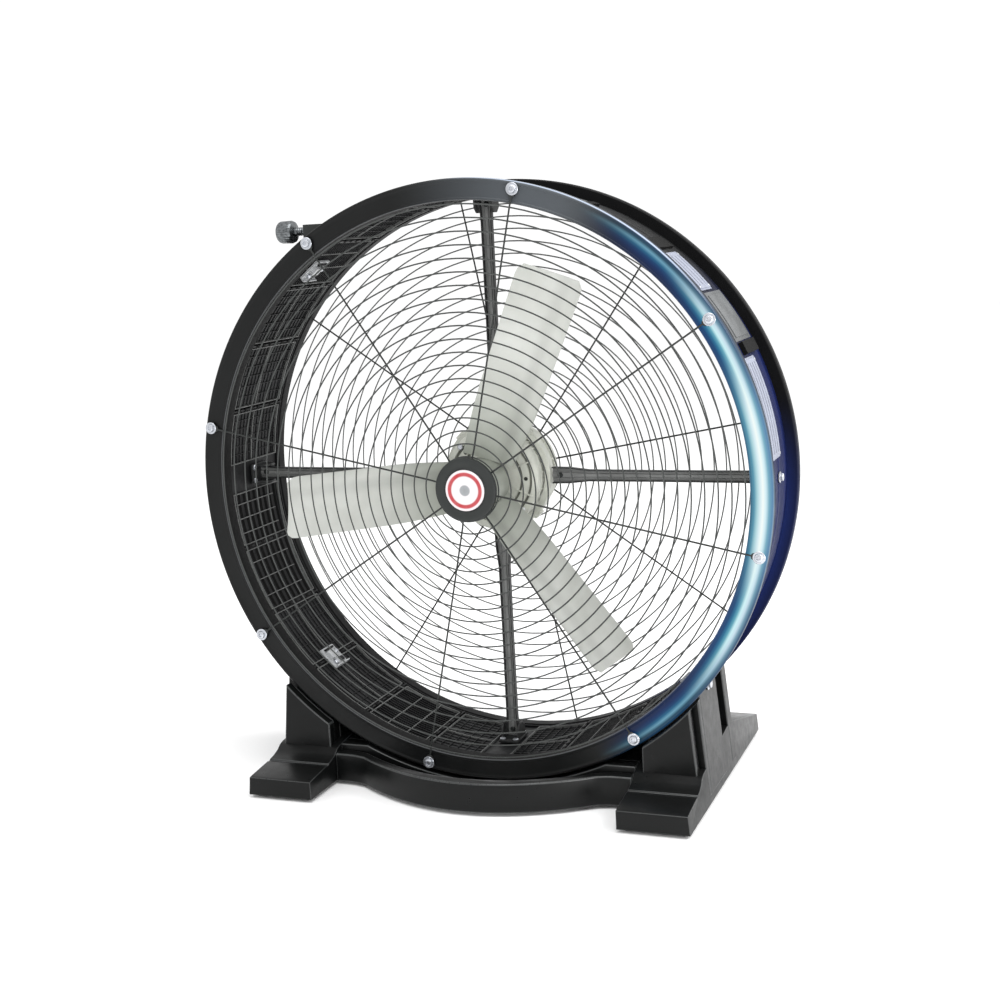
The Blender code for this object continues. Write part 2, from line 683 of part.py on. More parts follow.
def make_speed_control():
    """A small housing on the drum's shoulder, with a bushing, a spindle and a knurled knob turning in it."""
    y = FRONT_Y + KNOB_DEPTH
    z = AXIS_HEIGHT + KNOB_HEIGHT
    low, high = (-0.3150, y - 0.019, z - 0.014), (-0.2350, y + 0.019, z + 0.012)
    housing = box("control_housing", low, high)
    room = SHELL_RADIUS + 0.0006
    room_profile = [(0, 0), (room, 0), (room, 0.2), (0, 0.2)]
    boolean(housing, turned("shell_room", room_profile, collection=CUTTERS))
    spindle_room = rod("spindle_room", (-0.298, y, z), (-0.33, y, z), 0.0036, 12, CUTTERS)
    boolean(housing, spindle_room)
    finish(housing, BLACK_PLASTIC, smooth=False)
    bushing = rod("control_bushing", (-0.3153, y, z), (-0.3415, y, z), 0.0085, 16)
    bushing_bore = rod("bushing_bore", (-0.310, y, z), (-0.350, y, z), 0.0036, 12, CUTTERS)
    boolean(bushing, bushing_bore)
    finish(bushing, BLACK_PLASTIC)
    spindle = finish(rod("knob_spindle", (-0.3000, y, z), (-0.3620, y, z), 0.0030, 12), STEEL)
    knob = rod("speed_knob", (KNOB_X, y, z), (KNOB_X - 0.032, y, z), 0.021, 28, None, 0.0195)
    socket = rod("knob_socket", (KNOB_X + 0.005, y, z), (-0.3625, y, z), 0.0033, 12, CUTTERS)
    boolean(knob, socket)
    finish(knob, ZINC)
    parent_to([knob, spindle], axis_empty("knob_axis", (KNOB_X, y, z)))


def build():
    clearance = drum_clearance()
    for side, side_name in ((-1, "left"), (1, "right")):
        make_stand_side(f"stand_{side_name}", side, clearance)
        make_clamp_bolt(f"clamp_bolt_{side_name}", side)
    make_front_panel()
    make_deck(clearance)
    make_pads()
    make_shell()
    make_rings()
    make_ring_bolts()
    make_front_guard()
    make_rear_guard()
    make_guard_hubs()
    for name, angle in strut_angles():
        make_strut(name, angle)
        make_bracket(name, angle)
        make_strut_bolt(name, angle)
    make_rotor(make_motor())
    arc_plate("terminal_cover", 66, 86, 0.060, 0.165, PLATE_PAINT)
    arc_plate("access_cover", 41, 51, 0.095, 0.175, PLATE_PAINT)
    make_cable_gland()
    make_speed_control()


build()
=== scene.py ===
"""Looks for the drum floor fan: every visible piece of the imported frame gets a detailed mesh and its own
node material, then a camera, a plain floor and soft studio light."""

from math import cos, degrees, pi, radians, sin, sqrt

import bmesh
import bpy
from mathutils import Matrix, Vector


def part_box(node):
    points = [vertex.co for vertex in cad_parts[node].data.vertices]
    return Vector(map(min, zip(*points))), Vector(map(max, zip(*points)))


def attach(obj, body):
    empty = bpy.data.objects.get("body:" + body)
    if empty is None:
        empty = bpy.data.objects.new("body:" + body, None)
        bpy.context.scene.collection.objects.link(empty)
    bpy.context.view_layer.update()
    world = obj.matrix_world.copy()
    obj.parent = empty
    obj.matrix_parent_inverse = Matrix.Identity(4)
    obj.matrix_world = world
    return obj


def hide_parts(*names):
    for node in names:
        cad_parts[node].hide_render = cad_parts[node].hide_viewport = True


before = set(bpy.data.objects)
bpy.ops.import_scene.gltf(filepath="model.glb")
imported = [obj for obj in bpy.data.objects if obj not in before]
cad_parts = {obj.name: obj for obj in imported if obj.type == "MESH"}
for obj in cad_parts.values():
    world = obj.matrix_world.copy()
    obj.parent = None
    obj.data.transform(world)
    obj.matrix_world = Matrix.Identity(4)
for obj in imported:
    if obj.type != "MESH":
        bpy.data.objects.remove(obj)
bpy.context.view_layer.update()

# The drum's frame: its axis, its front face and its main radii, from the CAD.
RING_LOW, RING_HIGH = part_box("front_ring")
FRONT = RING_LOW.y
AXIS = (RING_LOW.z + RING_HIGH.z) / 2
RIM = (RING_HIGH.x - RING_LOW.x) / 2
SHELL_LOW, SHELL_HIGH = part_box("drum_shell")
SHELL = (SHELL_HIGH.x - SHELL_LOW.x) / 2
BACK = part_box("rear_ring")[1].y - FRONT
STRUT_DEPTH = (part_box("strut_12")[0].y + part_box("strut_12")[1].y) / 2 - FRONT
STRUT_GAP = 3.2  # degrees kept free beside each strut
STRUTS = (("12", 0), ("3", 90), ("6", 180), ("9", 270))
BOLT_CIRCLE = 0.5365
BOLT_ANGLES = [12 + 45 * i for i in range(8)]
WIRE_RADII = [0.059 + 0.02347 * i for i in range(20)]
WIRE_THICKNESS = 0.0014
WIRE_SIDES = 6
BLADES = 3
BLADE_SPACING = 360 / BLADES
FIRST_BLADE_ANGLE = 22.5


def srgb(red, green, blue):
    """A linear colour from screen values of 0 to 255."""
    values = []
    for value in (red, green, blue):
        value = value / 255
        values.append(value / 12.92 if value < 0.04045 else ((value + 0.055) / 1.055) ** 2.4)
    return (*values, 1)


def on_drum(radius, angle, depth):
    """A point by its radius and clock angle on the drum and its depth behind the front face."""
    turn = radians(angle)
    return Vector((radius * sin(turn), FRONT + depth, AXIS + radius * cos(turn)))


def around_axis(angle, depth=0):
    """A frame on the drum axis: +Z outwards at the clock angle, +Y back, +X clockwise."""
    return Matrix.Translation((0, FRONT + depth, AXIS)) @ Matrix.Rotation(radians(angle), 4, "Y")


def span(node):
    """A node's first and last depth behind the drum's front face."""
    low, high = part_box(node)
    return low.y - FRONT, high.y - FRONT


def from_front(across, height, depth):
    """A point by its place seen from the front and its depth."""
    return Vector((across, FRONT + depth, height))


def raised(depth, points, way=1):
    """Profile points whose depths are given from one depth, backwards or (way -1) forwards."""
    return [(radius, depth + way * offset) for radius, offset in points]


def head(radius, tip, flat=0.7):
    """A screw head for Solid.spun: straight sides, then a narrower tip."""
    return [(0, radius), (flat, radius), (1, tip)]


# Meshes


class Solid:
    """Closed bodies gathered in one mesh. paint is the material of the faces that come next, and edge the
    material of their rounded edges, if it differs."""

    def __init__(self, *materials, edge=None):
        self.mesh = bmesh.new()
        self.materials = [*materials, edge] if edge else materials
        self.paint = materials[0]
        self.edge_slot = len(materials) if edge else -1

    def skin(self, loops, wrap=False):
        """Faces between loops of points, closed at both ends or wrapped round to the first loop."""
        rings = [[self.mesh.verts.new(point) for point in loop] for loop in loops]
        pairs = list(zip(rings, rings[1:]))
        if wrap:
            pairs.append((rings[-1], rings[0]))
        faces = []
        for one, two in pairs:
            for i in range(len(one)):
                j = (i + 1) % len(one)
                faces.append(self.mesh.faces.new((one[i], two[i], two[j], one[j])))
        if not wrap:
            faces.append(self.mesh.faces.new(rings[0]))
            faces.append(self.mesh.faces.new(list(reversed(rings[-1]))))
        for face in faces:
            face.material_index = self.materials.index(self.paint)
        return faces

    def soften(self, faces, width, segments=2, angle=30):
        """Rounds the edges between these faces that are sharper than the angle."""
        bmesh.ops.recalc_face_normals(self.mesh, faces=faces)
        edges = {edge for face in faces for edge in face.edges}
        sharp = [edge for edge in edges if edge.calc_face_angle(0) > radians(angle)]
        bmesh.ops.bevel(
            self.mesh,
            geom=sharp,
            offset=width,
            segments=segments,
            affect="EDGES",
            profile=0.5,
            clamp_overlap=True,
            material=self.edge_slot,
        )

    def turned(self, profile, around=96, first=0, last=360):
        """A closed profile of (radius, depth) points, turned about the drum axis."""
        whole = last - first >= 360
        count = around if whole else around + 1
        angles = [first + (last - first) * i / around for i in range(count)]
        self.skin([[on_drum(r, a, d) for r, d in profile] for a in angles], whole)

    def hoops(self, depth):
        """A guard's concentric wires, all at one depth."""
        turns = [2 * pi * i / WIRE_SIDES for i in range(WIRE_SIDES)]
        section = [(WIRE_THICKNESS * cos(t), depth + WIRE_THICKNESS * sin(t)) for t in turns]
        for radius in WIRE_RADII:
            self.turned([(radius + a, b) for a, b in section], 72 + int(radius * 140))

    def arc_bar(self, inner, outer, first, last, start, end, around=4):
        """A short curved bar on the drum, between two radii, two angles and two depths."""
        self.turned([(inner, start), (outer, start), (outer, end), (inner, end)], around, first, last)

    def prism(self, outline, to_world, low, high, bevel=0, segments=2):
        """An outline pushed through from low to high. to_world turns (across, up, along) into a point.
        Its edges are rounded by the bevel, in segments."""
        faces = self.skin([[to_world(a, b, along) for a, b in outline] for along in (low, high)])
        if bevel:
            self.soften(faces, bevel, segments)

    def box(self, low, high, place=None, bevel=0, segments=2):
        place = place or Matrix()
        outline = [(low[0], low[1]), (high[0], low[1]), (high[0], high[1]), (low[0], high[1])]
        self.prism(outline, lambda a, b, c: place @ Vector((a, b, c)), low[2], high[2], bevel, segments)

    def spoke(self, angle, line, radii, sides=8):
        """A round bar at a clock angle, along a line of (radius, depth) points, with a radius for each."""
        points = [on_drum(radius, angle, depth) for radius, depth in line]
        turns = [2 * pi * k / sides for k in range(sides)]
        loops = []
        side = None
        for i, point in enumerate(points):
            ahead = (points[min(i + 1, len(points) - 1)] - points[max(i - 1, 0)]).normalized()
            if side is None:
                side = ahead.orthogonal().normalized()
            side = (side - ahead * side.dot(ahead)).normalized()
            other = ahead.cross(side)
            loops.append([point + (side * cos(t) + other * sin(t)) * radii[i] for t in turns])
        self.skin(loops)

    def spun(self, start, end, profile, sides=24, place=None):
        """A profile of (share of the way, radius) turned about the line from start to end."""
        place = place or Matrix()
        start, end = place @ Vector(start), place @ Vector(end)
        ahead = (end - start).normalized()
        side = ahead.orthogonal().normalized()
        other = ahead.cross(side)
        turns = [2 * pi * k / sides for k in range(sides)]
        loops = []
        for share, size in profile:
            middle = start.lerp(end, share)
            loops.append([middle + (side * cos(t) + other * sin(t)) * size for t in turns])
        self.skin(loops)


def piece(name, solid, node, body="fan_frame", sharp=32):
    """Turns a Solid into an object that rides a body and stands for a CAD node."""
    bmesh.ops.remove_doubles(solid.mesh, verts=solid.mesh.verts, dist=0.0000005)
    bmesh.ops.recalc_face_normals(solid.mesh, faces=solid.mesh.faces)
    data = bpy.data.meshes.new(name)
    solid.mesh.to_mesh(data)
    solid.mesh.free()
    for material in solid.materials:
        data.materials.append(material)
    data.shade_smooth()
    data.set_sharp_from_angle(angle=radians(sharp))
    item = bpy.data.objects.new(name, data)
    bpy.context.scene.collection.objects.link(item)
    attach(item, body)
    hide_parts(node)


# Materials


class Graph:
    """A material's node tree, with short ways to add the nodes used here."""

    def __init__(self, name):
        self.material = bpy.data.materials.new(name)
        self.material.use_nodes = True
        self.tree = self.material.node_tree
        self.shader = self.tree.nodes["Principled BSDF"]
        self.place = self.node("TexCoord", {}).outputs["Object"]

    def link(self, value, socket):
        """Joins an output to a socket, or sets the socket to a constant."""
        if isinstance(value, bpy.types.NodeSocket):
            self.tree.links.new(value, socket)
        else:
            socket.default_value = value

    def put(self, name, value):
        self.link(value, self.shader.inputs[name])

    def node(self, kind, inputs, **settings):
        """A new node: its settings are made first, then its inputs are joined or set."""
        node = self.tree.nodes.new("ShaderNode" + kind)
        for name, value in settings.items():
            setattr(node, name, value)
        for name, value in inputs.items():
            self.link(value, node.inputs[name])
        return node

    def noise(self, scale, detail, rough=0.55):
        inputs = {"Vector": self.place, "Scale": scale, "Detail": detail, "Roughness": rough}
        return self.node("TexNoise", inputs).outputs["Fac"]

    def spread(self, value, low, high, new_low, new_high, steps="LINEAR"):
        """A value's range from low to high, stretched to a new range."""
        inputs = {"Value": value, "From Min": low, "From Max": high, "To Min": new_low, "To Max": new_high}
        return self.node("MapRange", inputs, interpolation_type=steps).outputs["Result"]

    def maths(self, operation, one, two=0):
        return self.node("Math", {0: one, 1: two}, operation=operation).outputs[0]

    def times(self, one, two):
        return self.maths("MULTIPLY", one, two)

    def window(self, value, up_from, up_to, down_from, down_to):
        """A share that rises to 1 and falls again as the value grows."""
        rising = self.spread(value, up_from, up_to, 0, 1, "SMOOTHSTEP")
        return self.times(rising, self.spread(value, down_from, down_to, 1, 0, "SMOOTHSTEP"))

    def uneven(self, noise, low=0, high=1):
        """A noise's usual values, stretched from low to high."""
        return self.spread(noise, 0.3, 0.7, low, high)

    def mix(self, share, one, two, blend="MIX"):
        inputs = {"Factor": share, "A": one, "B": two}
        return self.node("Mix", inputs, data_type="RGBA", blend_type=blend).outputs["Result"]

    def ramp(self, value, stops):
        node = self.node("ValToRGB", {"Fac": value})
        marks = node.color_ramp.elements
        while len(marks) < len(stops):
            marks.new(0.5)
        for mark, (position, colour) in zip(marks, stops):
            mark.position = position
            mark.color = colour
        return node.outputs["Color"]

    def facing_up(self):
        """How far the surface faces upwards, from -1 to 1."""
        geometry = self.node("NewGeometry", {})
        return self.node("SeparateXYZ", {0: geometry.outputs["Normal"]}).outputs["Z"]

    def drum(self):
        """The radius from the drum axis, the clock angle in degrees and the depth at a point."""
        split = self.node("SeparateXYZ", {0: self.place})
        across = split.outputs["X"]
        up = self.maths("SUBTRACT", split.outputs["Z"], AXIS)
        radius = self.maths("SQRT", self.maths("ADD", self.times(across, across), self.times(up, up)))
        angle = self.times(self.maths("ARCTAN2", across, up), 180 / pi)
        depth = self.maths("SUBTRACT", split.outputs["Y"], FRONT)
        return radius, angle, depth

    def finish(self, gloss, worn, smooth, rough, grain, strength, distance=0.0004):
        """Sets the gloss, a roughness uneven between two values and a fine grain."""
        self.put("Specular IOR Level", gloss)
        self.put("Roughness", self.uneven(worn, smooth, rough))
        inputs = {"Height": self.noise(grain, 2), "Strength": strength, "Distance": distance}
        self.put("Normal", self.node("Bump", inputs).outputs["Normal"])
        return self.material


def surface(name, colour, rough, patch=9, grain=420, bump=0.25, metal=0, gloss=0.5, dust=0, vary=0.1):
    """A moulded, painted or metal surface: uneven colour and roughness, and a fine grain."""
    graph = Graph(name)
    graph.put("Metallic", metal)
    patches = graph.noise(patch, 4)
    middle = srgb(*colour)[:3]
    dark = (*[c * (1 - vary) for c in middle], 1)
    light = (*[min(1, c * (1 + vary)) for c in middle], 1)
    base = graph.mix(graph.uneven(patches), dark, light)
    if dust:
        settled = graph.spread(graph.facing_up(), 0.3, 1, 0, dust)
        share = graph.times(settled, graph.spread(patches, 0.35, 0.65, 0.5, 1))
        base = graph.mix(share, base, (0.3, 0.3, 0.29, 1))
    graph.put("Base Color", base)
    return graph.finish(gloss, graph.noise(patch * 6, 5, 0.65), rough - 0.06, rough + 0.06, grain, bump)


def ring_paint_with_painted_light():
    """Black ring paint with painted light: a paler top, which is a painted reflection of the overhead light;
    a painted highlight along its rolled outer edge and its inner lip; and a blue band round its right side,
    which is a painted reflection of a blue light and glows by emission. The band is dim blue where it
    starts, then gains a narrow bright core, which is widest at the right."""
    graph = Graph("ring_paint_painted_light")
    radius, angle, depth = graph.drum()

    def band(*colours):
        places = (0, 0.18, 0.31, 0.44, 0.56, 0.69, 0.82, 0.96)
        return graph.ramp(share, [(place, srgb(*colour)) for place, colour in zip(places, colours)])

    share = graph.spread(radius, 0.511, 0.55, 0, 1)
    base = graph.mix(graph.uneven(graph.noise(8, 4)), srgb(11, 12, 12), srgb(18, 19, 19))
    # Painted reflection: the ring is paler grey round its top, standing for the overhead light reflected
    # there.
    base = graph.mix(graph.window(angle, -14, 16, 20, 36), base, srgb(70, 74, 78))
    # Painted blue light: across the right side the base turns near-black navy under the glowing band.
    painted_blue_band_share = graph.window(angle, 24, 42, 138, 156)
    base = graph.mix(painted_blue_band_share, base, srgb(2, 4, 10))
    # Painted highlight: a pale grey line on the rolled outer edge near the front, from the top round to
    # about 2 o'clock.
    rolled = graph.spread(radius, 0.5482, 0.5492, 0, 1)
    edge = graph.times(rolled, graph.spread(depth, 0.007, 0.009, 1, 0))
    edge = graph.times(edge, graph.window(angle, -4, 8, 40, 58))
    base = graph.mix(edge, base, srgb(150, 160, 176))
    # Painted highlight: a pale grey line on the front of the inner lip, all round the ring.
    lip = graph.times(graph.spread(radius, 0.5122, 0.513, 1, 0), graph.spread(depth, 0.0016, 0.0022, 1, 0))
    base = graph.mix(graph.times(lip, 0.8), base, srgb(92, 94, 96))
    graph.put("Base Color", base)
    # Painted reflection of a blue light: the band's colours by radius across the face, dim, with a narrow
    # core, and with a wide core.
    dim = ((16, 34, 68), (8, 32, 74), (6, 40, 88), (8, 60, 106), (34, 98, 134), (104, 158, 182))
    dim = band(*dim, (34, 74, 96), (30, 62, 92))
    narrow = ((30, 60, 104), (8, 66, 114), (36, 110, 148), (96, 166, 186), (204, 242, 246), (202, 226, 238))
    narrow = band(*narrow, (120, 160, 180), (50, 84, 116))
    wide = ((4, 68, 102), (84, 148, 172), (168, 210, 218), (216, 238, 244), (246, 255, 252), (210, 238, 245))
    wide = band(*wide, (124, 178, 198), (84, 134, 172))
    lit = graph.mix(graph.window(angle, 44, 60, 117, 135), dim, narrow)
    lit = graph.mix(graph.window(angle, 62, 78, 97, 114), lit, wide)
    front_share = graph.times(painted_blue_band_share, graph.spread(depth, 0.003, 0.016, 1, 0.12))
    # The band glows by emission, strongest on the front face, as the painted reflection of a blue light.
    graph.put("Emission Color", graph.mix(front_share, (0, 0, 0, 1), lit))
    graph.put("Emission Strength", 0.97)
    return graph.finish(0.2, graph.noise(50, 4), 0.36, 0.46, 500, 0.15, 0.0003)


def shell_surface():
    """Black moulded wall, with painted blue light: its outside is painted navy on the right, standing for
    the blue light falling there.
    """
    graph = Graph("drum_wall")
    radius, angle, _ = graph.drum()
    base = graph.mix(graph.uneven(graph.noise(22, 5)), srgb(10, 10, 11), srgb(30, 31, 32))
    outside = graph.spread(radius, 0.5285, 0.53, 0, 1)
    # Painted blue light: the wall's outside turns navy on its right side, standing for the blue light
    # falling there.
    painted_navy_light = graph.times(graph.window(angle, 40, 70, 120, 150), outside)
    graph.put("Base Color", graph.mix(painted_navy_light, base, srgb(4, 18, 66)))
    return graph.finish(0.16, graph.noise(90, 4), 0.4, 0.56, 380, 0.3)


def rear_rim_surface():
    """Black rim paint, with painted blue light: navy low on the right, standing for the blue light falling
    there.
    """
    graph = Graph("rear_rim_paint")
    radius, angle, _ = graph.drum()
    base = graph.mix(graph.uneven(graph.noise(9, 4)), srgb(8, 8, 9), srgb(10, 10, 11))
    # Painted blue light: the rim turns navy low on its right side, standing for the blue light falling
    # there.
    painted_navy_light = graph.times(graph.window(angle, 74, 100, 132, 156), graph.spread(radius, 0.53, 0.55, 1, 0.35))
    graph.put("Base Color", graph.mix(painted_navy_light, base, srgb(22, 36, 88)))
    return graph.finish(0.12, graph.noise(54, 5), 0.44, 0.56, 420, 0.25)


def blade_surface():
    """Pale moulded blades, with painted shade: greyer and greener towards the hub, and a soft darker streak
    along each blade.
    """
    graph = Graph("blade_moulding")
    radius, angle, _ = graph.drum()
    patches = graph.noise(14, 4)
    base = graph.mix(graph.uneven(patches), srgb(182, 184, 178), srgb(198, 200, 195))
    # Painted shade: the blades are a darker, greener grey near the hub, fading out by about 0.24 m from the
    # axis.
    root = graph.mix(graph.uneven(patches), srgb(140, 144, 134), srgb(158, 162, 152))
    base = graph.mix(graph.spread(radius, 0.05, 0.24, 0, 1, "SMOOTHSTEP"), root, base)
    # Painted shade: a soft darker streak along each blade, a little to one side of its middle, weaker
    # towards the tip.
    shifted = graph.maths("ADD", angle, 360 + BLADE_SPACING / 2 - FIRST_BLADE_ANGLE)
    from_middle = graph.maths("SUBTRACT", graph.maths("MODULO", shifted, BLADE_SPACING), BLADE_SPACING / 2)
    across = graph.times(graph.times(from_middle, pi / 180), radius)
    share = graph.spread(across, -0.065, 0.065, 0, 1)
    streak_shade_greys = ((0, 0.94), (0.3, 1), (0.56, 0.98), (0.66, 0.78), (0.72, 0.8), (0.8, 0.97), (1, 0.9))
    streak = graph.ramp(share, [(place, (grey, grey, grey, 1)) for place, grey in streak_shade_greys])
    strength = graph.spread(radius, 0.1, 0.4, 0.95, 0.45)
    graph.put("Base Color", graph.mix(strength, base, streak, "MULTIPLY"))
    return graph.finish(0.5, graph.noise(80, 4), 0.32, 0.44, 600, 0.12, 0.0003)


def badge_surface():
    """A plain printed disc: a pale field with a grey middle, inside a red band near its edge."""
    graph = Graph("badge_print")
    share = graph.spread(graph.drum()[0], 0, 0.0375, 0, 1)
    stops = [
        (0, (128, 132, 134)), (0.24, (140, 144, 146)), (0.29, (212, 208, 210)), (0.66, (214, 208, 210)),
        (0.72, (164, 16, 28)), (0.85, (168, 20, 34)), (0.91, (220, 210, 213)), (1, (206, 200, 202)),
    ]
    colours = graph.ramp(share, [(place, srgb(*colour)) for place, colour in stops])
    wear = graph.uneven(graph.noise(60, 4), 0, 0.12)
    graph.put("Base Color", graph.mix(wear, colours, srgb(200, 196, 198)))
    return graph.finish(0.5, graph.noise(120, 3), 0.28, 0.42, 500, 0.1, 0.0002)


STAND = surface("stand_moulding", (10, 11, 11), 0.33, gloss=0.19, dust=0.008, grain=520, bump=0.22)
# Painted highlight: the stand's rounded edges get a paler, glossier paint, standing for the light they
# catch.
STAND_EDGE_HIGHLIGHT = surface("stand_edge_painted_highlight", (44, 46, 46), 0.3, gloss=0.45, patch=40, grain=520, vary=0.3)
RING = ring_paint_with_painted_light()
WALL = shell_surface()
# Painted highlight: the inner wall's frames and ribs are painted pale grey, standing for the light caught by
# the black ribs.
WALL_TRIM = surface("wall_frames", (94, 95, 94), 0.48, gloss=0.35, patch=30, vary=0.35)
WALL_DARK = surface("wall_slots", (8, 8, 8), 0.7, gloss=0.12, patch=30)
FITTING = surface("pale_fitting", (172, 174, 176), 0.42, patch=60, vary=0.25)
REAR_RIM = rear_rim_surface()
WIRE = surface("guard_wire_coat", (62, 64, 63), 0.42, gloss=0.3, patch=40, grain=900)
WIRE_REAR = surface("rear_wire_coat", (104, 106, 105), 0.45, gloss=0.4, patch=40, grain=900)
SPOKE = surface("guard_spoke_coat", (40, 42, 41), 0.4, gloss=0.3, patch=40, grain=900)
STRUT = surface("strut_coat", (40, 41, 41), 0.45, gloss=0.3, patch=30)
STRUT_WEB = surface("strut_web_coat", (112, 113, 112), 0.45, gloss=0.4, patch=24, vary=0.2)
ZINC = surface("bolt_zinc", (190, 193, 199), 0.34, metal=0.9, patch=120, bump=0.12, vary=0.14)
MOTOR = surface("motor_coat", (202, 204, 194), 0.45, patch=26, bump=0.35, vary=0.1)
MOTOR_DARK = surface("motor_slots", (52, 53, 50), 0.6, gloss=0.25, patch=40)
# Painted shade: a darker grey for the floors of the motor bells' grooves.
MOTOR_GROOVE_SHADE = surface("motor_groove_painted_shade", (104, 106, 98), 0.6, gloss=0.25, patch=40)
BLADE = blade_surface()
STEEL = surface("turned_steel", (170, 172, 174), 0.3, metal=1, patch=60)
STACK = surface("motor_stack", (120, 112, 100), 0.5, metal=0.7, patch=60)
RUBBER = surface("pad_rubber", (18, 18, 18), 0.85, gloss=0.2, patch=60, bump=0.5)
PLATE = surface("plate_paint", (132, 137, 152), 0.45, patch=30)
PLATE_ROW = surface("plate_rows", (104, 108, 120), 0.5, patch=40, vary=0.2)
BAND = surface("band_coat", (84, 86, 87), 0.45, gloss=0.3, patch=20, vary=0.3)
BLACK = surface("black_moulding", (34, 37, 36), 0.42, gloss=0.35, patch=30)
CHROME = surface("knob_metal", (106, 109, 111), 0.22, metal=0.9, patch=240, vary=0.5)
BADGE = badge_surface()


# Drum


def make_front_ring():
    """The ring: an inner lip, a shallow channel across its face, a rolled outer edge, and its sleeve."""
    solid = Solid(RING, WALL_DARK)
    inner = 0.511
    sleeve = 0.524
    profile = [
        (inner, 0.0028), (inner + 0.0006, 0.001), (inner + 0.0022, 0), (inner + 0.0042, 0.0002),
        (inner + 0.0056, 0.0014), (inner + 0.0085, 0.0017), (RIM - 0.0105, 0.0017), (RIM - 0.008, 0.0013),
        (RIM - 0.0062, 0.0003), (RIM - 0.0042, 0), (RIM - 0.002, 0.0007), (RIM - 0.0005, 0.0024),
        (RIM, 0.0048), (RIM, 0.018), (RIM - 0.0014, 0.0196), (RIM - 0.0014, 0.021), (RIM - 0.0003, 0.0222),
        (RIM - 0.0007, 0.024), (RIM - 0.0022, 0.025), (inner + 0.0012, 0.025), (inner + 0.0012, 0.005),
        (inner, 0.0044),
    ]
    solid.turned(profile, 256)
    # Painted shade: the liner behind the inner lip takes the near-black slot paint, standing for the shadow
    # in the gap between ring and wall.
    solid.paint = WALL_DARK
    liner = [(inner + 0.0004, 0.006), (inner + 0.0012, 0.0052), (inner + 0.002, 0.0052)]
    liner += [(inner + 0.002, 0.0246), (sleeve, 0.0246), (sleeve, 0.0385), (sleeve - 0.001, 0.04)]
    liner += [(inner + 0.001, 0.0345), (inner + 0.0004, 0.0335)]
    solid.turned(liner, 192)
    piece("ring_front", solid, "front_ring")


def make_rear_ring():
    solid = Solid(REAR_RIM)
    start = BACK - 0.025
    inner = 0.52
    profile = raised(start, [
        (inner, 0.002), (inner + 0.002, 0), (RIM - 0.0022, 0), (RIM - 0.0007, 0.001), (RIM - 0.0003, 0.0028),
        (RIM - 0.0014, 0.004), (RIM - 0.0014, 0.0054), (RIM, 0.007),
    ])
    profile += raised(BACK, [
        (RIM, -0.005), (RIM - 0.0008, -0.0022), (RIM - 0.003, 0), (RIM - 0.0075, -0.0002),
        (RIM - 0.01, -0.0016), (inner + 0.006, -0.0016), (inner + 0.004, -0.0004), (inner + 0.0018, 0),
        (inner, -0.002),
    ])
    solid.turned(profile, 256)
    piece("ring_rear", solid, "rear_ring")


def wall_panel(solid, first, last, kind):
    """One framed panel of the drum's inner wall, with its grid, columns or louvres."""
    base, frame_top, detail_top = 0.5256, 0.5205, 0.5228
    start, end = 0.0505, 0.227
    trim = 0.0022
    width = degrees(0.0016 / base)
    inside = (first + width, last - width)
    # The frames take the pale trim paint, a painted highlight.
    solid.paint = WALL_TRIM
    solid.arc_bar(frame_top, base, first, last, start, start + trim)
    solid.arc_bar(frame_top, base, first, last, end - trim, end)
    solid.arc_bar(frame_top, base, first, first + width, start + trim, end - trim, 1)
    solid.arc_bar(frame_top, base, last - width, last, start + trim, end - trim, 1)
    if kind == "grid":
        solid.arc_bar(detail_top, base, *inside, 0.132, 0.1342)
        solid.paint = WALL
        for i in range(1, 14):
            depth = start + (end - start) * i / 14
            solid.arc_bar(detail_top + 0.001, base, *inside, depth, depth + 0.0012)
        for i in range(1, 6):
            angle = first + (last - first) * i / 6
            solid.arc_bar(detail_top, base, angle, angle + width * 0.7, start + trim, end - trim, 1)
    elif kind == "columns":
        for i in (1, 2):
            angle = first + (last - first) * i / 3
            solid.arc_bar(frame_top + 0.001, base, angle, angle + width, start + trim, end - trim, 1)
        solid.paint = WALL
        for i in range(1, 20):
            depth = start + (end - start) * i / 20
            solid.arc_bar(detail_top, base, *inside, depth, depth + 0.0016)
    else:
        solid.paint = WALL_DARK
        for i in range(1, 9):
            depth = start + (end - start) * i / 9
            slat = [(base, 0), (frame_top + 0.0015, 0.004), (frame_top + 0.0015, 0.0055), (base, 0.0115)]
            solid.turned(raised(depth, slat), 4, *inside)
        solid.paint = WALL_TRIM
        for share in (0.22, 0.5, 0.78):
            angle = first + (last - first) * share
            solid.arc_bar(frame_top, base, angle, angle + width, 0.06, 0.2, 1)


def wall_fitting(solid, place):
    """A small bracket on the inner wall: a plate with a folded edge, three blocks and two screws."""
    solid.paint = FITTING
    solid.box((-0.027, -0.026, 0.518), (0.021, 0.026, 0.5225), place, 0.0005, 1)
    solid.box((-0.027, -0.026, 0.511), (-0.0245, 0.026, 0.519), place, 0.0004, 1)
    solid.box((-0.008, -0.02, 0.51), (0.01, 0.003, 0.519), place, 0.0006, 1)
    solid.paint = WALL
    solid.box((-0.02, 0.006, 0.515), (-0.01, 0.02, 0.5185), place, 0.0005, 1)
    solid.box((0.013, -0.016, 0.514), (0.017, 0.018, 0.5185), place, 0.0005, 1)
    solid.paint = ZINC
    for across, depth, tip in ((0.003, 0.013, 0.512), (-0.016, -0.012, 0.513)):
        solid.spun((across, depth, 0.5182), (across, depth, tip), head(0.0054, 0.0038, 0.6), 14, place)


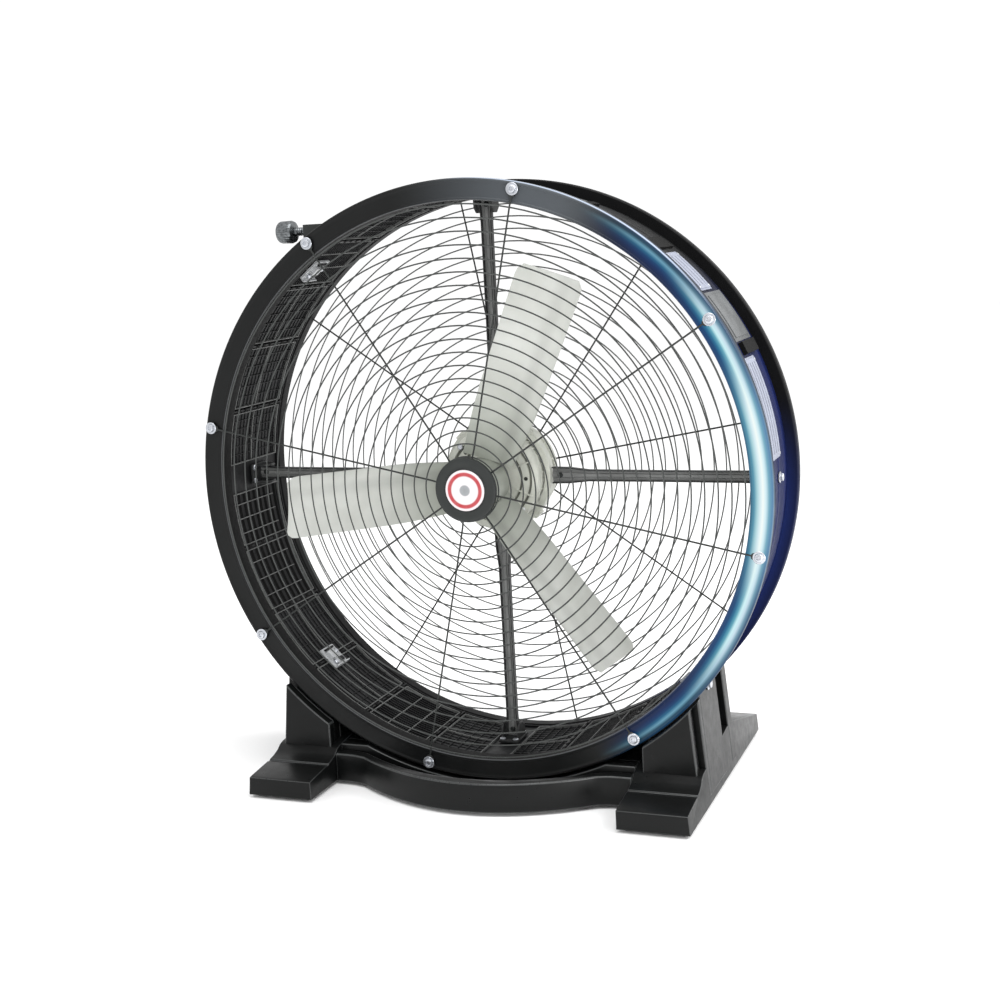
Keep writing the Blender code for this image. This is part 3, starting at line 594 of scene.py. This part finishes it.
def make_shell():
    """The drum's wall: beads outside, and inside a groove, ribs and framed panels."""
    solid = Solid(WALL, WALL_TRIM, WALL_DARK, FITTING, BAND, ZINC)
    inner, outer = 0.5252, SHELL - 0.0012
    start, end = SHELL_LOW.y - FRONT, SHELL_HIGH.y - FRONT
    profile = [(inner, start), (outer, start)]
    for bead in (0.046, 0.104, 0.16, 0.216):
        profile += raised(bead, [(outer, -0.006), (SHELL, -0.004), (SHELL, 0.004), (outer, 0.006)])
    profile += [(outer, end), (inner, end)]
    solid.turned(profile, 192)
    solid.paint = WALL_DARK
    solid.arc_bar(0.5238, inner + 0.0004, 0, 360, 0.2365, end, 192)
    solid.paint = WALL
    for depth in (0.0425, 0.2335):
        solid.arc_bar(0.5215, inner + 0.001, 0, 360, depth, depth + 0.003, 192)
    for i in range(24):
        kind = "columns" if i in (1, 4, 7, 10, 13, 21) else "louvre" if i in (16, 17) else "grid"
        first = 15 * i + (0.6 if i % 6 else STRUT_GAP)
        last = 15 * (i + 1) - (STRUT_GAP if i % 6 == 5 else 0.6)
        wall_panel(solid, first, last, kind)
        if i % 6:
            solid.paint = WALL
            solid.arc_bar(0.5195, 0.5256, 15 * i - 0.16, 15 * i + 0.16, 0.043, 0.2345, 1)
            solid.paint = WALL_DARK
            for step in range(7):
                depth = 0.064 + 0.024 * step
                solid.arc_bar(0.5185, 0.52, 15 * i - 0.34, 15 * i + 0.34, depth, depth + 0.008, 1)
    for angle, depth in ((225.2, 0.128), (320.6, 0.1), (45.2, 0.12), (135.2, 0.12)):
        wall_fitting(solid, around_axis(angle, depth))
    solid.paint = WALL_TRIM
    for angle in (352, 340, 332, 346, 8, 22):
        place = around_axis(angle, 0.1)
        solid.box((-0.008, -0.012, SHELL - 0.003), (0.008, 0.012, SHELL + 0.0055), place, 0.0015)
    solid.paint = FITTING
    solid.box((-0.013, -0.015, SHELL - 0.003), (0.013, 0.015, SHELL + 0.003), around_axis(18.5, 0.06), 0.001)
    solid.paint = BAND
    solid.arc_bar(SHELL - 0.001, SHELL + 0.0012, 51.6, 62.6, 0.1, 0.218, 8)
    solid.arc_bar(SHELL + 0.001, SHELL + 0.0026, 52.4, 61.8, 0.112, 0.206, 8)
    solid.arc_bar(SHELL - 0.001, SHELL + 0.0016, 15.5, 21, 0.07, 0.19, 5)
    solid.paint = WALL_DARK
    solid.arc_bar(SHELL - 0.001, SHELL + 0.008, 62.9, 65.4, 0.11, 0.205, 2)
    solid.arc_bar(SHELL - 0.001, SHELL + 0.004, 21.2, 22.6, 0.066, 0.2, 2)
    solid.arc_bar(SHELL - 0.001, SHELL + 0.004, 36.5, 39.6, 0.09, 0.2, 2)
    piece("drum_wall", solid, "drum_shell")


def make_ring_bolts():
    for number, angle in enumerate(BOLT_ANGLES, 1):
        start, end = span(f"ring_bolt_{number}")
        solid = Solid(ZINC)
        back = on_drum(BOLT_CIRCLE, angle, -0.0036)
        front = on_drum(BOLT_CIRCLE, angle, start)
        profile = [(0, 0.0112), (0.14, 0.0112), (0.22, 0.0106), (0.24, 0.008), (0.55, 0.0078)]
        profile += [(0.82, 0.0068), (0.96, 0.005), (1, 0.0036), (0.66, 0.0028), (0.64, 0.0002)]
        solid.spun(back, front, profile, 28)
        solid.spun(on_drum(BOLT_CIRCLE, angle, end), back, [(0, 0.0035), (0.05, 0.004), (1, 0.004)], 14)
        piece(f"ring_screw_{number}", solid, f"ring_bolt_{number}")


# Guards


def make_front_guard():
    """Twenty close wire rings on eight spokes, each spoke ending in a flat eye under its bolt."""
    solid = Solid(WIRE, SPOKE)
    depth = -0.0043
    solid.hoops(depth - 0.0003)
    solid.paint = SPOKE
    for angle in BOLT_ANGLES:
        line = raised(depth, [(0.05, -0.0028), (0.075, 0.0006), (0.3, 0.0018), (0.505, 0.0018)])
        line += [(0.516, -0.002), (0.526, -0.0019)]
        solid.spoke(angle, line, [0.0017] * 4 + [0.0016, 0.0015])
        place = around_axis(angle)
        turns = [2.2 + k * 0.24 for k in range(8)]
        outline = [(0.0065 * sin(t), 0.5265 + 0.0045 * cos(t)) for t in turns]
        outline += [(-0.0075, 0.531), (0.0075, 0.531)]
        solid.prism(outline, lambda a, b, c: place @ Vector((a, c, b)), -0.0033, -0.0003, 0.0005, 1)
    piece("guard_front", solid, "front_guard")


def make_rear_guard():
    solid = Solid(WIRE_REAR, SPOKE)
    start, end = span("rear_guard")
    depth = (start + end) / 2
    solid.hoops(depth + 0.0008)
    solid.paint = SPOKE
    for i in range(8):
        line = raised(depth, [(0.05, -0.001), (0.3, -0.001), (0.51, -0.001), (0.535, -0.0008)])
        solid.spoke(34.5 + 45 * i, line, [0.0017] * 3 + [0.0016])
    piece("guard_rear", solid, "rear_guard")


def make_guard_hubs():
    """The dished black disc and its plain badge at the front, and a ribbed plate at the back."""
    start, end = span("guard_hub")
    solid = Solid(BLACK)
    rim = 0.059
    profile = raised(end, [(0, 0), (rim - 0.001, 0), (rim, -0.001)])
    profile += raised(start, [
        (rim, 0.0032), (rim - 0.001, 0.0014), (rim - 0.003, 0.0004), (rim - 0.0055, 0), (0.048, 0.0004),
        (0.0425, 0.0012), (0.0405, 0.001), (0.0398, 0), (0.0384, 0), (0.038, 0.0012), (0, 0.0012),
    ])
    solid.turned(profile, 96)
    piece("hub_disc", solid, "guard_hub")
    start, end = span("hub_badge")
    solid = Solid(BADGE)
    profile = raised(end, [(0, 0), (0.0368, 0), (0.0375, -0.0005)])
    profile += raised(start, [(0.0372, 0.0003), (0.0362, 0.00005), (0.03, 0), (0, 0)])
    solid.turned(profile, 96)
    piece("hub_badge_plain", solid, "hub_badge")
    start, end = span("rear_guard_hub")
    solid = Solid(BLACK)
    profile = raised(start, [(0, 0), (0.059, 0), (0.06, 0.001)])
    profile += raised(end, [
        (0.06, -0.002), (0.0585, -0.0005), (0.0555, 0), (0.052, 0), (0.051, -0.0016), (0.025, -0.0016),
        (0.024, 0), (0.02, 0), (0.019, -0.0016), (0, -0.0016),
    ])
    solid.turned(profile, 96)
    for i in range(12):
        place = around_axis(30 * i, end)
        solid.box((-0.0012, -0.0028, 0.0235), (0.0012, -0.0002, 0.052), place, 0.0004, 1)
    piece("hub_plate_rear", solid, "rear_guard_hub")


# Struts and motor


def make_strut(name, angle):
    """A pressed channel from the motor to the wall: a web with two flanges, flaring at the motor."""
    solid = Solid(STRUT, STRUT_WEB, BLACK)
    place = around_axis(angle, STRUT_DEPTH)
    low, high = 0.1062, 0.5168
    stations = [(low, 0.0155), (0.14, 0.015), (0.178, 0.0108), (0.3, 0.0104), (0.47, 0.0108), (high, 0.0125)]
    web, depth, wall = 0.0022, 0.005, 0.0022
    loops = []
    for radius, half in stations:
        outline = [(-half, depth), (-half, -depth), (-half + wall, -depth), (-half + wall, depth - web)]
        outline += [(half - wall, depth - web), (half - wall, -depth), (half, -depth), (half, depth)]
        loops.append([place @ Vector((a, b, radius)) for a, b in outline])
    solid.skin(loops)
    solid.paint = STRUT_WEB
    loops = []
    for radius, half in stations:
        inside = half - wall + 0.0002
        half_outline = [(1, 0.0004), (1, -0.0012), (0.45, -0.0012), (0.3, -0.003)]
        outline = [(-inside * a, depth - web + b) for a, b in half_outline]
        outline += [(inside * a, depth - web + b) for a, b in reversed(half_outline)]
        loops.append([place @ Vector((a, b, radius)) for a, b in outline])
    solid.skin(loops)
    solid.paint = BLACK
    for radius in (0.121, 0.504):
        start, end = (0, depth - web - 0.0028, radius), (0, -0.0042, radius)
        solid.spun(start, end, head(0.005, 0.0034, 0.5), 12, place)
    piece(f"strut_channel_{name}", solid, f"strut_{name}")


def make_bracket(name, angle):
    """The plate on the drum's wall that holds a strut's end between two shaped ears."""
    solid = Solid(STRUT, ZINC)
    place = around_axis(angle, STRUT_DEPTH)
    solid.box((-0.02, -0.03, 0.5176), (0.02, 0.03, 0.5235), place, 0.0018)
    outline = [(-0.02, 0.518), (-0.018, 0.4975), (-0.008, 0.4885)]
    outline += [(-a, b) for a, b in reversed(outline)]
    for side in (-1, 1):
        low, high = sorted((side * 0.0142, side * 0.0184))
        solid.prism(outline, lambda a, b, c: place @ Vector((c, a, b)), low, high, 0.0008, 1)
    solid.paint = ZINC
    for depth in (-0.023, 0.023):
        for across in (-0.013, 0.013):
            start, end = (across, depth, 0.518), (across, depth, 0.5145)
            solid.spun(start, end, head(0.006, 0.004, 0.6), 12, place)
    piece(f"strut_foot_{name}", solid, f"strut_bracket_{name}")


def make_strut_bolt(name, angle):
    solid = Solid(ZINC)
    back = on_drum(SHELL + 0.0002, angle, STRUT_DEPTH)
    front = on_drum(SHELL + 0.0074, angle, STRUT_DEPTH)
    solid.spun(back, front, [(0, 0.01), (0.22, 0.01), (0.26, 0.0094)], 24)
    solid.spun(back.lerp(front, 0.2), front, head(0.0074, 0.0062, 0.85), 6)
    solid.spun(on_drum(0.5182, angle, STRUT_DEPTH), back.lerp(front, 0.1), [(0, 0.0038), (1, 0.004)], 12)
    piece(f"strut_screw_{name}", solid, f"strut_bolt_{name}")


def make_motor():
    """Mount ring, ribbed housing and two end bells, with their slots and through bolts."""
    solid = Solid(MOTOR)
    start, end = span("motor_mount_ring")
    outer, inner = 0.105, 0.0937
    profile = [
        (outer, start + 0.001), (outer, end - 0.001), (outer - 0.001, end), (inner, end), (inner, start),
    ]
    profile.append((outer - 0.001, start))
    solid.turned(profile, 96)
    for _, angle in STRUTS:
        place = around_axis(angle + 45, STRUT_DEPTH)
        solid.box((-0.009, -0.0085, 0.103), (0.009, 0.0085, 0.109), place, 0.0012)
    piece("motor_band", solid, "motor_mount_ring")
    start, end = span("motor_housing")
    solid = Solid(MOTOR)
    body = 0.089
    half_profile = [(0.08, 0), (0.0925, 0), (0.093, 0.0006), (0.093, 0.005), (body, 0.0056)]
    profile = raised(start, half_profile) + raised(end, reversed(half_profile), -1)
    solid.turned(profile, 96)
    for i in range(36):
        place = around_axis(10 * i + 5)
        for first, last in ((start + 0.004, STRUT_DEPTH - 0.0118), (STRUT_DEPTH + 0.0118, end - 0.004)):
            solid.box((-0.0011, first, body - 0.001), (0.0011, last, 0.0928), place, 0.0003, 1)
    piece("motor_case", solid, "motor_housing")
    for end_name, way in (("front", 1), ("rear", -1)):
        face, back = span(f"motor_{end_name}_bell")[::way]
        solid = Solid(MOTOR, MOTOR_DARK, ZINC, MOTOR_GROOVE_SHADE)
        profile = raised(face, [(0.0128, 0), (0.0128, 0.0078), (0.02, 0.0078)], way)
        profile += raised(back, [(0.02, 0), (0.0925, 0), (0.093, -0.0008)], way)
        profile += raised(face, [
            (0.093, 0.01), (0.0916, 0.0062), (0.088, 0.0038), (0.0812, 0.0026), (0.0804, 0.0052),
            (0.0762, 0.0052), (0.0754, 0.0024), (0.063, 0.0018), (0.0622, 0.005), (0.058, 0.005),
            (0.0572, 0.0012), (0.052, 0.001), (0.05, 0.0004), (0.03, 0), (0.029, 0),
        ], way)
        solid.turned(profile[::way], 96)
        for i in range(8):
            place = around_axis(45 * i + 22.5, face)
            low, high = (-0.0014, way * 0.0008 - 0.0006, 0.049), (0.0014, way * 0.0036 + 0.0006, 0.0865)
            solid.box(low, high, place, 0.0004, 1)
        # Painted shade: darker rings sit in the two groove floors of each bell.
        solid.paint = MOTOR_GROOVE_SHADE
        low, high = sorted((face + way * 0.0044, face + way * 0.0056))
        for inside, outside in ((0.0582, 0.062), (0.0764, 0.0802)):
            solid.arc_bar(inside, outside, 0, 360, low, high, 96)
        solid.paint = MOTOR_DARK
        for i in range(8):
            low, high = (0, way * 0.003, 0.069), (0, way * 0.0014, 0.069)
            solid.spun(low, high, [(0, 0.004), (1, 0.0036)], 16, around_axis(45 * i, face))
        solid.paint = ZINC
        for i in range(4):
            low, high = (0, way * 0.004, 0.0835), (0, way * 0.0002, 0.0835)
            solid.spun(low, high, head(0.0062, 0.0046, 0.75), 6, around_axis(45 + 90 * i, face))
        piece(f"motor_bell_{end_name}", solid, f"motor_{end_name}_bell")


# Rotor


def make_blade(number):
    """A twisted, cambered blade with a thick root, a rounded square tip and a fine trailing edge."""
    low, high = 0.0476, 0.4098
    stations, around = 30, 32
    solid = Solid(BLADE)
    place = around_axis(FIRST_BLADE_ANGLE + BLADE_SPACING * (number - 1), 0.055)
    loops = []
    for step in range(stations + 1):
        along = step / stations
        radius = low + (high - low) * along
        swell = sin(pi / 2 * min(1, along * 2.5))
        chord = 0.098 + 0.018 * swell + 0.009 * along
        corner = max(0, (along - 0.93) / 0.07)
        chord *= 0.985 * sqrt(1 - 0.3 * corner**3)
        thick = (0.0118 - 0.007 * along) * (1 - 0.45 * corner**2)
        pitch = radians(26 - 4 * along)
        loop = []
        for i in range(around):
            turn = 2 * pi * i / around
            share = cos(turn)
            fine = 0.62 + 0.38 * share
            off = sin(turn) * thick / 2 * fine - 0.058 * chord * (1 - share**2)
            forward = share * chord / 2
            across = forward * cos(pitch) + off * sin(pitch)
            back = forward * sin(pitch) - off * cos(pitch)
            loop.append(place @ Vector((across, back, radius)))
        loops.append(loop)
    solid.skin(loops)
    piece(f"fan_blade_{number}", solid, f"blade_{number}", "rotor", 50)


def make_rotor_hub():
    start, end = span("rotor_hub")
    solid = Solid(BLADE, ZINC)
    profile = raised(start, [(0.0093, 0), (0.038, 0), (0.041, 0.0008), (0.0455, 0.0036), (0.047, 0.0072)])
    profile += raised(end, [(0.047, -0.003), (0.0455, -0.0008), (0.044, 0), (0.0093, 0)])
    solid.turned(profile, 96)
    solid.paint = ZINC
    for i in range(BLADES * 2):
        angle = BLADE_SPACING * (i + 0.5) / 2 + FIRST_BLADE_ANGLE
        screw = on_drum(0.0335, angle, start + 0.001), on_drum(0.0335, angle, start - 0.0022)
        solid.spun(*screw, head(0.0045, 0.003), 6)
    piece("rotor_boss", solid, "rotor_hub", "rotor")
    start, end = span("hub_cap")
    solid = Solid(BLADE)
    profile = raised(start, [(0, 0), (0.01, 0.0003), (0.0165, 0.0018), (0.0225, 0.0052), (0.027, 0.0098)])
    profile += raised(end, [(0.0296, -0.0012), (0.0298, 0), (0, 0)])
    solid.turned(profile, 96)
    piece("rotor_cap", solid, "hub_cap", "rotor")


# Stand

RING_ROOM = RIM + 0.0045
SHELL_ROOM = SHELL + 0.0025
LEAN = 0.1


def stand_piece(name, solid, node):
    piece(name, solid, node, sharp=20)


def circle_height(radius, across):
    """The height of the drum's underside at a distance to one side."""
    return AXIS - sqrt(max(0, radius * radius - across * across))


def slab_outline(inner, outer, low, radius, side, steps=14):
    """A slab seen from the front: upright inside, leaning outside, its top cut to the drum's circle."""
    reach = inner
    while True:
        height = circle_height(radius, reach)
        if reach >= outer - LEAN * height:
            break
        reach += 0.0002
    points = [(inner, low), (inner, circle_height(radius, inner))]
    for i in range(1, steps + 1):
        across = inner + (reach - inner) * i / steps
        points.append((across, circle_height(radius, across)))
    points.append((outer - LEAN * low, low))
    return [(side * a, b) for a, b in points]


def make_stand_side(side, side_name):
    """A moulded side: a long stepped foot, a tower of slabs with a deep groove, and a side wall."""
    solid = Solid(STAND, edge=STAND_EDGE_HIGHLIGHT)
    front, rear = -0.1365, 0.4345
    bottom = 0.0063

    def sideways(depth, height, across):
        lean = LEAN * height if abs(across) > 0.35 else 0
        return Vector((across - side * lean, FRONT + depth, height))

    foot = [(front, bottom), (rear, bottom), (rear, 0.0395), (0.226, 0.0915), (0.19, 0.0915), (-0.01, 0.07)]
    foot += [(-0.02, 0.0665), (-0.03, 0.0585), (-0.046, 0.0525), (-0.059, 0.05), (-0.0605, 0.0475)]
    foot += [(-0.0665, 0.047), (-0.068, 0.0485), (-0.129, 0.042), (front, 0.0405)]
    low, high = sorted((side * 0.2945, side * 0.4262))
    solid.prism(foot, sideways, low, high, 0.0032, 3)
    for inner, outer, low, radius, start, end, bevel, segments in (
        (0.31, 0.4165, 0.03, RING_ROOM, -0.0165, 0.004, 0.0026, 3),
        (0.3115, 0.406, 0.03, RING_ROOM, 0.003, 0.0275, 0.0005, 1),
        (0.3115, 0.412, 0.03, SHELL_ROOM, 0.0285, 0.227, 0.0005, 1),
        (0.33, 0.4268, 0.02, RING_ROOM, 0.0135, 0.03, 0.0022, 2),
        (0.33, 0.4268, 0.02, SHELL_ROOM, 0.029, 0.149, 0.0022, 2),
        (0.33, 0.4268, 0.02, SHELL_ROOM, 0.199, 0.228, 0.0022, 2),
    ):
        solid.prism(slab_outline(inner, outer, low, radius, side), from_front, start, end, bevel, segments)
    stand_piece(f"stand_{side_name}_moulding", solid, f"stand_{side_name}")


def make_front_panel():
    low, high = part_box("front_panel")
    solid = Solid(STAND, edge=STAND_EDGE_HIGHLIGHT)
    half, bowed, bow, wall = high.x - 0.0002, 0.231, 0.093, 0.024
    base = -0.033
    steps = 36
    across = [-bowed + 2 * bowed * i / steps for i in range(steps + 1)]
    shoulder = [(half, base), (0.268, base), (0.255, base - 0.001), (0.244, base - 0.0036)]
    line = [(-x, depth) for x, depth in shoulder]
    line += [(x, base - 0.0075 - (bow - 0.0075) * (1 - (x / bowed) ** 2)) for x in across]
    line += reversed(shoulder)
    outline = line + [(x, depth + wall) for x, depth in reversed(line)]

    def upright(x, depth, height):
        draft = 0.0025 * (height - low.z) / (high.z - low.z)
        return Vector((x, FRONT + depth + draft, height))

    solid.prism(outline, upright, low.z, high.z, 0.003, 3)
    for x in (-0.17, -0.085, 0, 0.085, 0.17):
        depth = base - bow * (1 - (x / bowed) ** 2) + wall - 0.002
        solid.box((x - 0.0015, FRONT + depth, low.z), (x + 0.0015, FRONT + depth + 0.02, high.z - 0.01))
    stand_piece("stand_front_moulding", solid, "front_panel")


def make_deck():
    """The deck under the drum, with a rounded lip in front, and the wall behind it."""
    low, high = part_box("stand_deck")
    solid = Solid(STAND, edge=STAND_EDGE_HIGHLIGHT)

    def deck_outline(radius, half, bottom, top):
        edge = sqrt(radius**2 - (AXIS - top) ** 2)
        steps = 40
        points = [(-half, bottom), (-half, top)]
        for i in range(steps + 1):
            across = -edge + 2 * edge * i / steps
            points.append((across, circle_height(radius, across)))
        return points + [(half, top), (half, bottom)]

    behind, before = STRUT_DEPTH + 0.018, STRUT_DEPTH - 0.018
    for radius, start, end, bevel, segments in (
        (RING_ROOM, low.y - FRONT, 0.028, 0.0022, 3),
        (SHELL_ROOM, 0.0275, before, 0.0008, 1),
        (SHELL_ROOM + 0.0085, before - 0.0002, behind + 0.0002, 0, 1),
        (SHELL_ROOM, behind, high.y - FRONT, 0.0012, 1),
    ):
        outline = deck_outline(radius, high.x, low.z, high.z)
        solid.prism(outline, from_front, start, end, bevel, segments)
    stand_piece("stand_deck_moulding", solid, "stand_deck")
    low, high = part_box("rear_panel")
    solid = Solid(STAND, edge=STAND_EDGE_HIGHLIGHT)
    outline = deck_outline(SHELL_ROOM, high.x, low.z, high.z)
    solid.prism(outline, from_front, low.y - FRONT, high.y - FRONT, 0.0018, 2)
    for across in (-0.2, -0.12, -0.04, 0.04, 0.12, 0.2):
        corner = (across + 0.0015, high.y + 0.004, 0.03)
        solid.box((across - 0.0015, high.y - 0.001, low.z), corner, None, 0.0004, 1)
    stand_piece("stand_rear_moulding", solid, "rear_panel")


def make_pads():
    for end_name in ("front", "rear"):
        for side_name in ("left", "right"):
            node = f"pad_{end_name}_{side_name}"
            low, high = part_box(node)
            solid = Solid(RUBBER)
            solid.box((low.x, low.y, 0.0016), high, None, 0.0012)
            last_rib = 8
            for i in range(last_rib + 1):
                start = low.y + 0.003 + (high.y - low.y - 0.0106) * i / last_rib
                corner = (high.x - 0.002, start + 0.0046, 0.0024)
                solid.box((low.x + 0.002, start, 0), corner, None, 0.0006, 1)
            piece(f"foot_{node}", solid, node)


def make_clamp_bolts():
    for side_name in ("left", "right"):
        node = f"clamp_bolt_{side_name}"
        low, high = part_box(node)
        side = 1 if low.x > 0 else -1
        root, tip = (low.x, high.x) if side > 0 else (high.x, low.x)
        y, z = (low.y + high.y) / 2, (low.z + high.z) / 2
        solid = Solid(ZINC)
        base = tip - side * 0.007
        solid.spun((base, y, z), (tip - side * 0.005, y, z), head(0.011, 0.0102, 0.8), 28)
        solid.spun((tip - side * 0.0052, y, z), (tip, y, z), head(0.0082, 0.007, 0.82), 6)
        solid.spun((root, y, z), (base, y, z), [(0, 0.0046), (0.03, 0.005), (1, 0.005)], 14)
        piece(f"clamp_screw_{side_name}", solid, node)


# Fittings


def make_cover(name, node, first, last, rows):
    """A curved cover plate with a stepped edge, a raised middle and a screw in each corner."""
    start, end = span(node)
    solid = Solid(PLATE, PLATE_ROW, ZINC)
    inner = SHELL + 0.0003
    edge = degrees(0.0035 / SHELL)
    solid.arc_bar(inner, inner + 0.0018, first, last, start, end, 12)
    solid.arc_bar(inner + 0.001, inner + 0.003, first + edge, last - edge, start + 0.0035, end - 0.0035, 12)
    solid.paint = PLATE_ROW
    inside = (first + 3 * edge, last - 3 * edge)
    for i in range(rows):
        depth = start + 0.016 + (end - start - 0.036) * i / (rows - 1)
        solid.arc_bar(inner + 0.002, inner + 0.0034, *inside, depth, depth + 0.003, 10)
    solid.paint = ZINC
    for angle in (first + 2.1 * edge, last - 2.1 * edge):
        for depth in (start + 0.008, end - 0.008):
            screw = on_drum(inner + 0.002, angle, depth), on_drum(inner + 0.0042, angle, depth)
            solid.spun(*screw, head(0.0032, 0.002), 10)
    piece(name, solid, node)


def make_gland():
    solid = Solid(BLACK)
    place = around_axis(260, 0.19)
    nut = [(0, 0.0125), (0.06, 0.013), (0.86, 0.013), (1, 0.0118)]
    solid.spun((0, 0, SHELL + 0.0005), (0, 0, 0.539), nut, 6, place)
    neck = [(0, 0.01), (0.12, 0.0104), (0.24, 0.0096), (0.36, 0.01), (0.5, 0.0092), (0.62, 0.0095)]
    neck += [(0.8, 0.0082), (0.95, 0.0078), (1, 0.007), (0.99, 0.0045), (0.5, 0.004)]
    solid.spun((0, 0, 0.538), (0, 0, 0.5488), neck, 24, place)
    piece("gland_nut", solid, "cable_gland")


def make_control():
    """The control box on the drum's shoulder, its bushing and its knurled knob."""
    low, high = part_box("control_housing")
    solid = Solid(BLACK, ZINC)
    y, z = (low.y + high.y) / 2, AXIS + 0.472
    top = z + 0.012

    def along(x, height, depth):
        return Vector((x, y + depth, height))

    drum, shelf = SHELL + 0.0006, top - 0.0005
    under = [(x, AXIS + sqrt(drum**2 - x * x)) for x in (-0.314, -0.3, -0.285, -0.27, -0.255, -0.2365)]
    reach = sqrt(drum**2 - (shelf - AXIS) ** 2)
    outline = [(x, height) for x, height in under if height < shelf]
    outline += [(-reach, shelf), (-reach, top), (-0.315, top), (-0.315, z - 0.014)]
    outline = [(x, height) for x, height in outline if not (x == -0.314 and height < z - 0.014)]
    solid.prism(outline, along, -0.019, 0.019)
    lid = (-0.312, y - 0.0165, top - 0.001), (-0.276, y + 0.0165, top + 0.0002)
    solid.box(*lid, None, 0.0004, 1)
    solid.paint = ZINC
    for depth in (-0.012, 0.012):
        start, end = (-0.294, y + depth, top - 0.001), (-0.294, y + depth, top + 0.0004)
        solid.spun(start, end, head(0.003, 0.0018), 10)
    piece("control_box", solid, "control_housing")
    low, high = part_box("control_bushing")
    solid = Solid(CHROME)
    collar = [(0, 0.0085), (0.18, 0.0085), (0.22, 0.0072), (0.3, 0.0072), (0.34, 0.008), (0.42, 0.0072)]
    collar += [(0.5, 0.008), (0.58, 0.0072), (0.66, 0.008), (0.74, 0.0072), (0.82, 0.008), (1, 0.0076)]
    collar += [(0.995, 0.0036), (0.5, 0.0035)]
    solid.spun((high.x, y, z), (low.x, y, z), collar, 28)
    piece("control_collar", solid, "control_bushing")
    low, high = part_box("speed_knob")
    solid = Solid(CHROME, BLACK)
    sides = 120
    start, end = Vector((high.x, y, z)), Vector((low.x, y, z))
    loops = []
    profile = [(0, 0.017), (0.03, 0.019), (0.1, 0.02), (0.16, 0.0206), (0.8, 0.02), (0.9, 0.0194)]
    profile += [(0.97, 0.0176), (1, 0.015), (0.985, 0.012), (0.98, 0.004)]
    for share, radius in profile:
        middle = start.lerp(end, share)
        grip = 0.0008 if 0.12 < share < 0.85 else 0
        loop = []
        for k in range(sides):
            turn = 2 * pi * k / sides
            size = radius + grip * (0.5 if k % 4 < 2 else -0.5)
            loop.append(middle + Vector((0, cos(turn), sin(turn))) * size)
        loops.append(loop)
    solid.skin(loops)
    solid.paint = BLACK
    mark = (low.x + 0.0004, y - 0.0009, z + 0.003), (low.x + 0.0014, y + 0.0009, z + 0.014)
    solid.box(*mark, None, 0.0002, 1)
    piece("speed_dial", solid, "speed_knob", "knob")


# Camera, floor and light


def make_camera():
    """A camera low to the right of the fan's front, slightly above and slightly turned."""
    yaw, pitch, roll = radians(21.41), radians(9.99), radians(-2.97)
    ahead = Vector((-sin(yaw) * cos(pitch), cos(yaw) * cos(pitch), -sin(pitch)))
    across = Vector((cos(yaw), sin(yaw), 0))
    upward = across.cross(ahead)
    middle = Vector((0, FRONT, AXIS))
    away, aside, above = RIM * 5.039, RIM * 0.0996, RIM * -0.0422
    place = middle - ahead * away + across * aside + upward * above
    right = across * cos(roll) + upward * sin(roll)
    up = upward * cos(roll) - across * sin(roll)
    data = bpy.data.cameras.new("camera")
    data.sensor_width = 36
    data.lens = 55.32
    data.clip_start = 0.05
    data.clip_end = 60
    camera = bpy.data.objects.new("camera", data)
    bpy.context.scene.collection.objects.link(camera)
    turn = Matrix((right, up, -ahead)).transposed().to_4x4()
    camera.matrix_world = Matrix.Translation(place) @ turn
    bpy.context.scene.camera = camera


def make_lamp(name, place, target, size, power):
    """A white rectangular lamp, aimed at a target."""
    data = bpy.data.lights.new(name, "AREA")
    data.shape = "RECTANGLE"
    data.size, data.size_y = size
    data.energy = power
    lamp = bpy.data.objects.new(name, data)
    bpy.context.scene.collection.objects.link(lamp)
    lamp.location = place
    aim = Vector(target) - Vector(place)
    lamp.rotation_euler = aim.to_track_quat("-Z", "Y").to_euler()


def make_stage():
    bpy.ops.mesh.primitive_plane_add(size=30, location=(0, 0, 0))
    floor = bpy.context.object
    floor.name = "floor"
    graph = Graph("floor_white")
    shade = graph.uneven(graph.noise(2, 2))
    graph.put("Base Color", graph.mix(shade, (0.965, 0.965, 0.965, 1), (0.975, 0.975, 0.975, 1)))
    graph.put("Roughness", 0.9)
    graph.put("Specular IOR Level", 0.1)
    floor.data.materials.append(graph.material)
    world = bpy.data.worlds.new("studio")
    world.use_nodes = True
    background = world.node_tree.nodes["Background"]
    background.inputs["Color"].default_value = (1, 1, 1, 1)
    background.inputs["Strength"].default_value = 1.06
    bpy.context.scene.world = world
    make_lamp("key", (3.2, 0.6, 3), (0, 0, 0.4), (1.6, 1.6), 110)
    make_lamp("top", (0.4, -1.2, 3.6), (0, 0, 0.3), (2.4, 2.4), 60)
    make_lamp("side", (3, -2.4, 0.6), (0, 0, 0.55), (1.4, 1), 40)
    bpy.context.scene.view_settings.view_transform = "Standard"


make_camera()
make_front_ring()
make_rear_ring()
make_shell()
make_ring_bolts()
make_front_guard()
make_rear_guard()
make_guard_hubs()
for strut_name, strut_angle in STRUTS:
    make_strut(strut_name, strut_angle)
    make_bracket(strut_name, strut_angle)
    make_strut_bolt(strut_name, strut_angle)
make_motor()
for blade_number in range(1, BLADES + 1):
    make_blade(blade_number)
make_rotor_hub()
make_stand_side(-1, "left")
make_stand_side(1, "right")
make_front_panel()
make_deck()
make_pads()
make_clamp_bolts()
make_cover("cover_terminal", "terminal_cover", 66, 86, 5)
make_cover("cover_access", "access_cover", 41, 51, 3)
make_gland()
make_control()
STEEL_NODES = ("front_bearing", "rear_bearing", "motor_shaft", "knob_spindle")
for material, nodes in ((STACK, ("rotor_core", "stator")), (STEEL, STEEL_NODES)):
    for node in nodes:
        for material_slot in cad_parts[node].material_slots:
            material_slot.material = material
make_stage()
